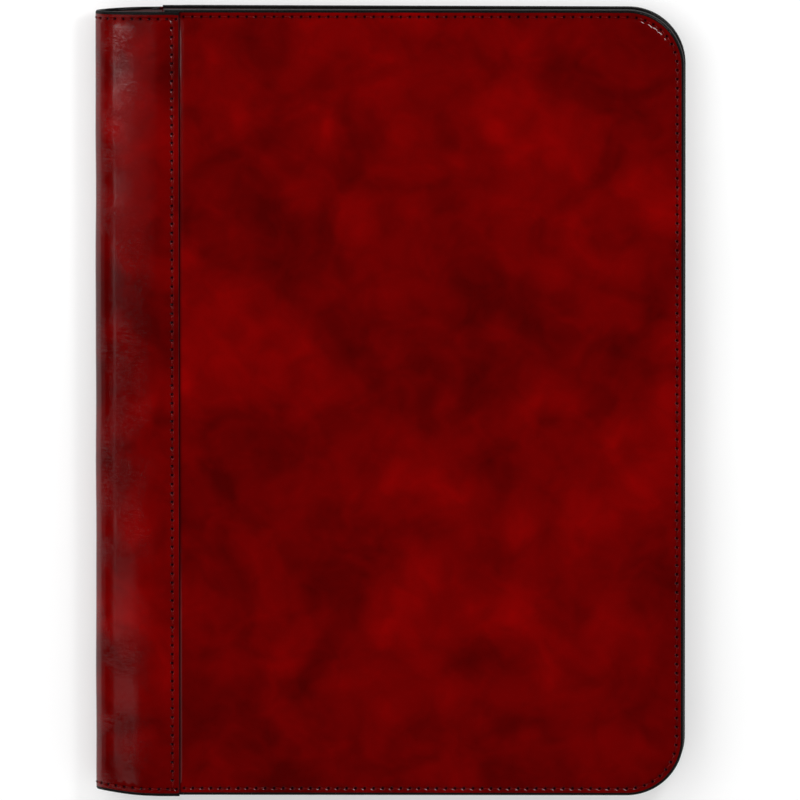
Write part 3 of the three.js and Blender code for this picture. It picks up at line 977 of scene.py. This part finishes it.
def make_spine_leather():
    rows, stations = strip_rows(), strip_stations()
    s, y = np.meshgrid(stations, rows, indexing="ij")
    outer = wrap_point(s, y, -strip_height(s, y))
    along = np.gradient(outer, axis=0)
    up = np.gradient(outer, axis=1)
    normals = np.cross(along, up)
    normals /= np.linalg.norm(normals, axis=-1, keepdims=True)
    normals *= np.sign((normals * wrap_outwards(s)).sum(-1, keepdims=True).mean())
    inner_rows = np.linspace(EDGE_Y, -EDGE_Y, 60)
    for part, (name, _, _, low, high) in enumerate(SPINE_PARTS):
        chosen = np.flatnonzero(in_stretch(stations, low, high))
        inner = wrap_point(stations[chosen][:, None], inner_rows[None], LEATHER)
        sections = np.concatenate([outer[chosen], inner], axis=1)
        points, faces = loft(sections)
        flat_s = np.broadcast_to(stations[chosen][:, None], sections.shape[:2])
        flat_y = np.broadcast_to(np.concatenate([rows, inner_rows])[None], sections.shape[:2])
        flat = np.stack([flat_s, flat_y, 0 * flat_s], axis=-1)
        outward = np.concatenate([normals[chosen], np.zeros_like(inner)], axis=1).reshape(-1, 3)
        piece = make_piece(f"spine_leather_{name}", points, faces, SPINE_LEATHER, flat, 50, outward)
        flat = flat.reshape(-1, 3)
        # Painted shade in the needle holes, and a painted shadow along the strip's free edge.
        from_free_edge = np.minimum(flat[:, 0] - STRIP_START, STRIP_END - flat[:, 0])
        strip_edge_shadow = 1 - smoothstep(0.05, 0.4, from_free_edge)
        store_painted_shade(piece, np.maximum(near_holes(flat[:, :2], strip_holes()), strip_edge_shadow))
        bend_with_spine(piece, part)
        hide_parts(*nodes_of_stretch("spine_wrap", name))


def make_spine_end_paint():
    """The black bead round the strip's top and bottom ends."""
    stations = strip_stations()
    for part, (name, _, _, low, high) in enumerate(SPINE_PARTS):
        s = stations[in_stretch(stations, low, high)]
        on_bend = smoothstep(0.5, 5, s) * (1 - smoothstep(SPINE_LENGTH - 5, SPINE_LENGTH - 0.5, s))
        thickness = LEATHER - 0.02 + on_bend * (GAP + LINING + 0.1)
        shapes = np.array([paint_section(depth) for depth in thickness])
        tubes = []
        for end in (1, -1):
            y = end * (EDGE_Y - shapes[:, :, 0])
            tubes.append(loft(wrap_point(s[:, None], y, shapes[:, :, 1])))
        points, faces = merged(tubes)
        piece = make_piece(f"spine_end_paint_{name}", points, faces, EDGE_PAINT, sharp=60)
        bend_with_spine(piece, part)


def lining_depth(s):
    t = np.interp(s, ARC_S, ARC_T)
    reach = 0.4
    bottom = LEATHER + GAP
    at_back = COVER_STACK - LINING - bottom
    at_front = at_back + WRAP_STEP
    back_rise = 1 - smoothstep(0, reach, t)
    front_rise = smoothstep(ARC_T[-1] - reach, ARC_T[-1], t)
    return bottom + back_rise * at_back + front_rise * at_front


def make_spine_lining():
    """The spine's lining, with the small folds that closing the case pushes up in it."""
    rows = np.linspace(-EDGE_Y + 0.9, EDGE_Y - 0.9, 90)
    stations = np.array(spread(np.linspace(0, SPINE_LENGTH, 70), 0.1))
    near = np.minimum(np.abs(stations - PARTING_S[1]), np.abs(stations - PARTING_S[2]))
    stations = np.sort(np.concatenate([stations[near > 0.3], [PARTING_S[1], PARTING_S[2]]]))
    for part, (name, _, _, low, high) in enumerate(SPINE_PARTS):
        s = stations[in_stretch(stations, low, high)]
        grid_s, grid_y = np.meshgrid(s, rows, indexing="ij")
        bend = smoothstep(12, 26, grid_s) * (1 - smoothstep(SPINE_LENGTH - 26, SPINE_LENGTH - 12, grid_s))
        folds = 0.10 * bend * (1 + np.sin(grid_s / 0.85 + 1.3 * np.sin(grid_y / 19)))
        depth = lining_depth(grid_s)
        face = wrap_point(grid_s, grid_y, depth + LINING + folds)
        back = wrap_point(grid_s, grid_y[:, ::-1], depth)
        sections = np.concatenate([face, back], axis=1)
        points, faces = loft(sections)
        piece = make_piece(f"spine_lining_leather_{name}", points, faces, LINING_LEATHER, sharp=50)
        bend_with_spine(piece, part)
        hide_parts(*nodes_of_stretch("spine_lining", name))


# ---- Stitching along the borders and the spine ----

# How deep stitches are seated in the outer leather, and in the softer faces inside.
SEAT_DEPTH = 0.12
INNER_SEAT = 0.08
POCKET_LEATHER = 1.0
POCKET_TOP = box_mm("pad_pocket_panel")[1][1]
POCKET_FACE = box_mm("pad_pocket_panel")[1][2]
DOCUMENT_POCKET_X = -62
DOCUMENT_POCKET_FACE = FRONT.face + COVER_STACK + GAP + POCKET_LEATHER


def inner_faces(cover):
    """Stretches of the border line inside a cover, and the depth of the face they show on."""
    lining = cover.face + COVER_STACK
    if cover is BACK:
        top = border.run + border.turn + border.corner_y + POCKET_TOP
        return [(0, top, POCKET_FACE), (top, border.length, lining)]
    edge = DOCUMENT_POCKET_X - BORDER_START_X
    far = border.length - edge
    return [(0, edge, lining), (edge, far, DOCUMENT_POCKET_FACE), (far, border.length, lining)]


def make_border_stitches(cover):
    holes = BORDER_PITCH * np.arange(BORDER_STITCHES + 1)

    def frame_at(depth, way):
        def at(along):
            x, y, angle = border.at(along, STITCH_INSET)
            middle = cover.place(np.column_stack([x, y, np.full_like(x, depth)]))
            reached = np.column_stack([x + np.cos(angle), y + np.sin(angle), np.full_like(x, depth)])
            across = cover.place(reached) - middle
            above = cover.place(np.column_stack([x, y, np.full_like(x, depth - way)]))
            return middle, across, above - middle
        return at

    lines = StitchLines()
    lines.add(holes, frame_at(cover.face + SEAT_DEPTH, 1))
    piece = lines.make(f"{cover.name}_border_stitches")
    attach(piece, cover.body)
    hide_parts(f"{cover.name}_border_thread")
    inner = StitchLines()
    for low, high, face in inner_faces(cover):
        inner.add(holes[(holes >= low) & (holes <= high)], frame_at(face - INNER_SEAT, -1))
    piece = inner.make(f"{cover.name}_border_stitches_inside")
    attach(piece, cover.body)


def strip_frame(fixed, along_section):
    """The frame along a line on the strip: up the page, or along the section."""
    def at(along):
        s = along if along_section else np.full_like(along, fixed)
        y = np.full_like(along, fixed) if along_section else along
        out = wrap_outwards(s)
        step = 0.05
        middle = wrap_point(s, y, SEAT_DEPTH)
        if along_section:
            tangent = wrap_point(s + step, y, SEAT_DEPTH) - wrap_point(s - step, y, SEAT_DEPTH)
        else:
            tangent = wrap_point(s, y + step, SEAT_DEPTH) - wrap_point(s, y - step, SEAT_DEPTH)
        across = np.cross(tangent / np.linalg.norm(tangent, axis=1)[:, None], out)
        return middle, across, out
    return at


def make_strip_stitches():
    for cover, seam in ((BACK, BACK_SEAM_S), (FRONT, FRONT_SEAM_S)):
        lines = StitchLines()
        lines.add(SEAM_HOLES, strip_frame(seam, False))
        piece = lines.make(f"{cover.name}_seam_stitches")
        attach(piece, cover.body)
        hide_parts(f"{cover.name}_spine_seam_thread")
    for part, (name, _, _, low, high) in enumerate(SPINE_PARTS):
        lines = StitchLines()
        middles = (END_HOLES[:-1] + END_HOLES[1:]) / 2
        chosen = np.flatnonzero((middles >= low) & (middles < high))
        holes = END_HOLES[chosen[0] : chosen[-1] + 2]
        for end in (1, -1):
            lines.add(holes, strip_frame(end * (EDGE_Y - STITCH_INSET), True))
        bend_with_spine(lines.make(f"spine_end_stitches_{name}"), part)


# ---- What the covers hold ----

PADDING_SPINE_X = -86.7
FOAM_THICKNESS = 0.75


def cover_outline(spine_x, margin):
    """The outline of a cover as a function of inset, from a spine edge and a first margin."""
    def outline(inset):
        reach = CORNER_RADIUS - margin - inset
        corner_x, corner_y = EDGE_X - CORNER_RADIUS, EDGE_Y - CORNER_RADIUS
        edge = EDGE_Y - margin - inset
        angles = np.linspace(-math.pi / 2, 0, 13)
        low = [(corner_x + reach * math.cos(a), -corner_y + reach * math.sin(a)) for a in angles]
        high = [(x, -y) for x, y in reversed(low)]
        return [(spine_x + inset, -edge), *low, *high, (spine_x + inset, edge)]
    return outline


def box_outline(left, right, bottom, top):
    def outline(inset):
        low_x, high_x = left + inset, right - inset
        low_y, high_y = bottom + inset, top - inset
        return [(low_x, low_y), (high_x, low_y), (high_x, high_y), (low_x, high_y)]
    return outline


def distance_to(outline_points, x, y):
    """The distance from points to an outline."""
    a = np.asarray(outline_points, float)
    b = np.roll(a, -1, axis=0)
    p = np.stack([x, y], axis=-1)[:, None]
    d = b - a
    length = np.maximum((d**2).sum(-1), 1e-9)
    t = np.clip(((p - a) * d).sum(-1) / length, 0, 1)
    return np.sqrt((((a + t[..., None] * d) - p) ** 2).sum(-1)).min(1)


def make_panel(name, cover, outline, face, thickness, material, node, shape=None):
    """A flat panel of leather inside a cover, its face turned inwards. shape adds to the face."""
    rim = outline(0)

    def height(x, y):
        inset = distance_to(rim, x, y)
        raised = edge_relief(inset * 1.5) * 0.6
        raised = raised + (shape(x, y, inset) if shape else 0)
        return face + thickness + raised

    insets = [0, 0.06, 0.2, 0.45, 1.0, 1.9, 2.6, 3.2, 4.2, 6.5]
    points, faces = sheet_from_outline(outline, insets, 7.0, height, face)
    piece = make_piece(name, cover.place(points), faces, material, points)
    settle(piece, cover.body, node)


def make_cover_inside(cover):
    outline = cover_outline(cover.spine_x + 0.1, 0.9)
    depth = cover.face + COVER_STACK - LINING
    make_panel(
        f"{cover.name}_lining_leather", cover, outline, depth, LINING, LINING_LEATHER,
        f"{cover.name}_cover_lining",
    )


def make_padding(cover):
    """The foam sheet between the leather and the board, crowned under the leather."""
    inset = EDGE_Y - box_mm(f"{cover.name}_padding")[1][1]
    outline = cover_outline(PADDING_SPINE_X, inset)
    top_depth = cover.face + LEATHER + GAP

    def height(x, y):
        gone = distance_to(outline(0), x, y)
        return top_depth + 0.32 * (1 - smoothstep(0, 6, gone))

    insets = [0, 0.6, 1.6, 3.2, 5.5]
    bottom_depth = top_depth + FOAM_THICKNESS
    points, faces = sheet_from_outline(outline, insets, 12.0, height, bottom_depth)
    piece = make_piece(f"{cover.name}_foam_padding", cover.place(points), faces, FOAM, points)
    settle(piece, cover.body, f"{cover.name}_padding")


for cover in (BACK, FRONT):
    make_cover_leather(cover)
    make_cover_edge(cover)
    make_border_stitches(cover)
    make_cover_inside(cover)
    make_padding(cover)
    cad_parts[f"{cover.name}_cover_board"].data.materials.clear()
    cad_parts[f"{cover.name}_cover_board"].data.materials.append(CAD_BOARD)

make_spine_leather()
make_spine_end_paint()
make_spine_lining()
make_strip_stitches()

# ---- Pockets, card slots and the pen loop ----

POCKET_MARGIN = 0.5
POCKET_SPINE_X = box_mm("pad_pocket_panel")[0][0]
POCKET_STITCH_INSET = STITCH_INSET - POCKET_MARGIN
POCKET_WELT = 2.5
PEN_TAB = 8
SLOT_LEATHER = 0.8
SLOT_LEFT, SLOT_RIGHT, SLOT_BOTTOM = -52, 44, 20
SLOT_SEAM_INSET = 2.0
SLOT_SEAM_END = 0.8


def add_row(lines, cover, start, end, depth):
    """A straight row of stitches on a face inside a cover."""
    start, end = np.array(start, float), np.array(end, float)
    length = np.linalg.norm(end - start)
    way = (end - start) / length
    count = max(1, round(length / STITCH_PITCH))

    def at(along):
        flat = start + way * along[:, None]
        side = flat + np.array([way[1], -way[0]])
        level = np.full(len(along), depth - INNER_SEAT)
        middle = cover.place(np.column_stack([flat, level]))
        across = cover.place(np.column_stack([side, level])) - middle
        above = cover.place(np.column_stack([flat, level + 1.0]))
        return middle, across, above - middle

    lines.add(length / count * np.arange(count + 1), at)


def pocket_outline(inset):
    """The pad pocket's outline: the foot of the back cover, cut straight across."""
    reach = CORNER_RADIUS - POCKET_MARGIN - inset
    corner_x, corner_y = EDGE_X - CORNER_RADIUS, CORNER_RADIUS - EDGE_Y
    angles = np.linspace(-math.pi / 2, 0, 13)
    corner = [(corner_x + reach * math.cos(a), corner_y + reach * math.sin(a)) for a in angles]
    left, top = POCKET_SPINE_X + inset, POCKET_TOP - inset
    return [(left, corner_y - reach), *corner, (corner_x + reach, top), (left, top)]


def creased(amount):
    """Relief of a panel with a line creased round it and slow waves in the middle."""
    def shape(x, y, inset):
        line = -0.13 * np.exp(-(((inset - POCKET_STITCH_INSET) / 0.5) ** 2))
        waves = np.sin(x / 19 + 0.4) * np.sin(y / 27 + 1.1) + 0.5 * np.sin(x / 33 - y / 21)
        return line + amount * waves * smoothstep(4, 25, inset)
    return shape


def make_pad_pocket():
    face = POCKET_FACE - POCKET_LEATHER
    make_panel(
        "pad_pocket_leather", BACK, pocket_outline, face, POCKET_LEATHER, INNER_LEATHER,
        "pad_pocket_panel", creased(0.06),
    )
    # The welt: three sides of the outline, from one end of the pocket's mouth to the other.
    low, high = box_mm("pad_pocket_welt")
    bottom, top, width = low[2], high[2], POCKET_WELT
    soft, below_mouth = 0.18, 0.4
    section = [
        (soft, bottom), (0, bottom + soft), (0, top - soft), (soft, top),
        (width - soft, top), (width, top - soft), (width, bottom + soft), (width - soft, bottom),
    ]
    stations = []
    last = len(pocket_outline(0)) - 2
    for corner in range(-1, last + 1):
        ring = []
        for inset, depth in section:
            x, y = pocket_outline(inset)[corner]
            at_mouth = corner in (-1, last)
            ring.append((x, POCKET_TOP - below_mouth if at_mouth else y, depth))
        stations.append(ring)
    points, faces = loft(stations)
    welt = make_piece("pad_pocket_leather_welt", BACK.place(points), faces, INNER_LEATHER, points)
    settle(welt, "back_cover", "pad_pocket_welt")

    lines = StitchLines()
    seam_x = POCKET_SPINE_X + POCKET_STITCH_INSET
    add_row(lines, BACK, (seam_x, STITCH_INSET - EDGE_Y), (seam_x, POCKET_TOP - 1.2), POCKET_FACE)
    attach(lines.make("pad_pocket_stitches"), "back_cover")


def make_pen_loop():
    """A strip of leather that lies along its tab and turns round until it meets it again."""
    low, high = box_mm("pen_loop")
    wall = 1.0
    radius = (high[0] - low[0] - PEN_TAB) - wall / 2
    centre_x, centre_z = low[0] + radius + wall / 2, high[2] - radius - wall / 2
    tab_x = np.linspace(high[0], centre_x + 0.6, 7)
    angles = np.radians(np.linspace(-90, -415, 72))
    line_x = np.concatenate([tab_x, centre_x + radius * np.cos(angles)])
    line_z = np.concatenate([np.full(7, centre_z - radius), centre_z + radius * np.sin(angles)])
    normal_x = np.concatenate([np.zeros(7), np.cos(angles)])
    normal_z = np.concatenate([-np.ones(7), np.sin(angles)])
    half, soft = 0.46, 0.3
    across = [
        (low[1] + soft, half), (high[1] - soft, half), (high[1] - 0.08, half - 0.14), (high[1], 0),
        (high[1] - 0.08, 0.14 - half), (high[1] - soft, -half), (low[1] + soft, -half),
        (low[1] + 0.08, 0.14 - half), (low[1], 0), (low[1] + 0.08, half - 0.14),
    ]
    stations = []
    for x, z, nx, nz in zip(line_x, line_z, normal_x, normal_z):
        stations.append([(x + nx * out, y, z + nz * out) for y, out in across])
    points, faces = loft(stations)
    loop = make_piece("pen_loop_leather", points, faces, INNER_LEATHER, sharp=60)
    settle(loop, "back_cover", "pen_loop")
    lines = StitchLines()
    seam_x = high[0] - 1.9
    add_row(lines, BACK, (seam_x, low[1] + 1.5), (seam_x, high[1] - 1.5), centre_z - radius + half)
    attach(lines.make("pen_loop_stitches"), "back_cover")


def make_document_pocket():
    face = DOCUMENT_POCKET_FACE - POCKET_LEATHER
    outline = cover_outline(DOCUMENT_POCKET_X, POCKET_MARGIN)
    make_panel(
        "document_pocket_leather", FRONT, outline, face, POCKET_LEATHER, INNER_LEATHER,
        "document_pocket_panel", creased(0.05),
    )
    make_card_slots()


def make_card_slots():
    """Three leathers, each lying on the one before and stepping down below its top."""
    tops = [box_mm(f"card_slot_{number}")[1][1] for number in (1, 2, 3)]
    left_x, right_x = SLOT_LEFT + SLOT_SEAM_INSET, SLOT_RIGHT - SLOT_SEAM_INSET
    low_y = SLOT_BOTTOM + SLOT_SEAM_INSET
    lines = StitchLines()
    for slot, top in enumerate(tops):
        depth = DOCUMENT_POCKET_FACE + GAP + slot * (SLOT_LEATHER + GAP)
        outline = box_outline(SLOT_LEFT, SLOT_RIGHT, SLOT_BOTTOM, top)
        make_panel(
            f"card_slot_leather_{slot + 1}", FRONT, outline, depth, SLOT_LEATHER, INNER_LEATHER,
            f"card_slot_{slot + 1}", creased(0.03),
        )
        seam_foot = tops[slot + 1] + SLOT_SEAM_END if slot + 1 < len(tops) else low_y
        for x in (left_x, right_x):
            add_row(lines, FRONT, (x, seam_foot), (x, top - SLOT_SEAM_END), depth + SLOT_LEATHER)
    add_row(lines, FRONT, (left_x, low_y), (right_x, low_y), depth + SLOT_LEATHER)
    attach(lines.make("card_slot_stitches"), "front_cover")


# ---- The writing pad ----

# The pad lies as flat as the back cover, so its points are placed in the same way.
PAD = Cover("back", "writing_pad", 0.0, 0.0)
LEAVES = 15


def make_pad_board():
    low, high = box_mm("pad_backing_board")
    make_panel(
        "pad_greyboard_back", PAD, box_outline(low[0], high[0], low[1], high[1]), low[2],
        high[2] - low[2], BOARD, "pad_backing_board",
    )


def make_pad_sheets():
    """A block of paper that steps up off its board and over the pocket's leather."""
    low, high = box_mm("pad_sheets")
    step_from, step_to = POCKET_TOP + 12, POCKET_TOP + 2
    on_board, on_pocket = low[2] + 0.05, POCKET_FACE + 0.1
    along = np.concatenate([
        np.linspace(low[1], step_to, 16), np.linspace(step_to + 1, step_from - 1, 9),
        np.linspace(step_from, high[1], 9),
    ])
    across = np.linspace(0, 1, 9)
    leaves = []
    for leaf in range(LEAVES):
        shift = rng.normal(0, 0.07, 2)
        left, right = low[0] + 0.2 + shift[0], high[0] - 0.2 + shift[0]
        x = left + (right - left) * across
        y = np.clip(along + shift[1], low[1] - 0.15, high[1])
        foot = on_board + (on_pocket - on_board) * smoothstep(step_from, step_to, y)
        head = high[2] - 0.05 + 0 * y
        lower = foot + (head - foot) * (leaf / LEAVES)
        upper = foot + (head - foot) * ((leaf + 0.86) / LEAVES)
        wave = 0.012 * np.sin(x[None] / 9 + leaf) * np.cos(y[:, None] / 14 + 2 * leaf)
        below = np.stack(np.broadcast_arrays(x[None], y[:, None], lower[:, None] + wave), axis=-1)
        above = np.stack(np.broadcast_arrays(x[None], y[:, None], upper[:, None] + wave), axis=-1)
        leaves.append(loft(np.concatenate([below, above[:, ::-1]], axis=1)))
    points, faces = merged(leaves)
    block = make_piece("pad_paper_block", points, faces, PAPER, sharp=40)
    settle(block, "writing_pad", "pad_sheets")


def make_pad_tape():
    """The cloth tape folded over the head of the pad, from its back to its front."""
    low, high = box_mm("pad_binding_tape")
    thick, bend = 0.25, 0.5
    quarter = np.radians(np.linspace(0, 90, 6))
    outer, inner = [(low[1], low[2])], [(low[1], low[2] + thick)]
    for angle in quarter:
        reach_y, reach_z = math.sin(angle), 1 - math.cos(angle)
        outer.append((high[1] - bend + bend * reach_y, low[2] + bend * reach_z))
        inside_bend = bend - thick
        inner.append((high[1] - bend + inside_bend * reach_y, low[2] + thick + inside_bend * reach_z))
    middle = (low[2] + high[2]) / 2
    outer = outer + [(y, 2 * middle - z) for y, z in reversed(outer)]
    inner = inner + [(y, 2 * middle - z) for y, z in reversed(inner)]
    ring = outer + inner[::-1]
    stations = [[(x, y, z) for y, z in ring] for x in np.linspace(low[0], high[0], 40)]
    points, faces = loft(stations)
    tape = make_piece("pad_cloth_tape", points, faces, TAPE)
    settle(tape, "writing_pad", "pad_binding_tape")


make_pad_pocket()
make_pen_loop()
make_document_pocket()
make_pad_board()
make_pad_sheets()
make_pad_tape()

# ---- The stage, the lights and the camera ----

ROOM_RADIANCE = 0.86
FLOOR_HALF, FLOOR_Z = 30.0, -0.0008
LAMP_HEIGHT = 0.9
CARD_REACH, CARD_HEIGHT, CARD_SIZE = 3.0, 0.35, (5.0, 0.7)


def make_floor():
    mesh = bpy.data.meshes.new("studio_floor")
    corners = [(-1, -1), (1, -1), (1, 1), (-1, 1)]
    points = [(x * FLOOR_HALF, y * FLOOR_HALF, FLOOR_Z) for x, y in corners]
    mesh.from_pydata(points, [], [[0, 1, 2, 3]])
    floor = bpy.data.objects.new("studio_floor", mesh)
    bpy.context.scene.collection.objects.link(floor)
    s = Shader("pale_floor", attribute=False)
    colour = s.ramp(s.noise(6, 2), [(0.3, (0.68, 0.68, 0.68)), (0.7, (0.72, 0.72, 0.72))])
    s.set(Base_Color=colour, Roughness=0.9)
    s.set(Specular_IOR_Level=0.0, Emission_Color=(1, 1, 1, 1), Emission_Strength=0.28)
    mesh.materials.append(s.material)


def make_world():
    """An even pale room, which gloss doesn't reflect: that is left to the soft boxes."""
    world = bpy.data.worlds.new("studio")
    bpy.context.scene.world = world
    world.use_nodes = True
    background = world.node_tree.nodes["Background"]
    background.inputs["Color"].default_value = (1, 1, 1, 1)
    background.inputs["Strength"].default_value = ROOM_RADIANCE
    world.cycles_visibility.glossy = False


def soft_light(name, place, target, size, radiance, only_gloss=False, no_gloss=False):
    """A rectangular soft box that shines towards a target, as bright as a radiance."""
    light = bpy.data.lights.new(name, "AREA")
    light.shape = "RECTANGLE"
    light.size, light.size_y = size
    light.energy = radiance * math.pi * size[0] * size[1]
    lamp = bpy.data.objects.new(name, light)
    bpy.context.scene.collection.objects.link(lamp)
    lamp.location = place
    lamp.rotation_euler = (Vector(target) - Vector(place)).to_track_quat("-Z", "Y").to_euler()
    lamp.visible_camera = False
    lamp.visible_diffuse = not only_gloss
    lamp.visible_glossy = not no_gloss
    return lamp


def level_light(name, x, y, size, radiance, **seen_by):
    """A soft box that hangs level and shines straight down."""
    return soft_light(name, (x, y, LAMP_HEIGHT), (x, y, 0.0), size, radiance, **seen_by)


def make_lights():
    """Soft boxes beyond the spine and beyond a far corner, and pale cards on all four sides."""
    level_light("key_soft_box", -0.78, 0.48, (1.05, 0.84), 1.5, no_gloss=True)
    gloss = level_light("key_gloss", -0.79, 0.459, (1.03, 0.84), 6.8, only_gloss=True)
    gloss.rotation_euler.z = math.radians(3.6)
    level_light("strip_gloss", -1.19, -0.1, (0.23, 0.2), 1.0, only_gloss=True)
    level_light("low_gloss", -0.9, -0.27, (0.86, 0.14), 0.6, only_gloss=True)
    corner_place, corner_target = (0.46, 0.50, LAMP_HEIGHT), (0.1, 0.15, 0.0)
    soft_light("corner_soft_box", corner_place, corner_target, (0.22, 0.22), 16.0)
    for name, x, y, radiance in [
        ("right_card", CARD_REACH, 0, 1.2),
        ("left_card", -CARD_REACH, 0, 0.25),
        ("far_card", 0, CARD_REACH, 0.28),
        ("near_card", 0, -CARD_REACH, 0.4),
    ]:
        place, target = (x, y, CARD_HEIGHT), (0, 0, CARD_HEIGHT)
        soft_light(name, place, target, CARD_SIZE, radiance, only_gloss=True)


def make_camera():
    tilt_up, tilt_right = math.radians(6.3), math.radians(2.0)
    distance = 12.0
    frame_size = 0.3398
    target = Vector((0.0043, 0.0004, 0.012))
    back = Vector((math.tan(tilt_right), math.tan(tilt_up), 1.0)).normalized()
    data = bpy.data.cameras.new("camera")
    data.sensor_width = 36
    data.lens = data.sensor_width * distance / frame_size
    camera = bpy.data.objects.new("camera", data)
    bpy.context.scene.collection.objects.link(camera)
    camera.location = target + back * distance
    right = Vector((0, 1, 0)).cross(back).normalized()
    up = back.cross(right)
    camera.rotation_mode = "QUATERNION"
    camera.rotation_quaternion = Matrix((right, up, back)).transposed().to_quaternion()
    bpy.context.scene.camera = camera


make_floor()
make_world()
make_lights()
make_camera()
bpy.context.scene.view_settings.view_transform = "Standard"
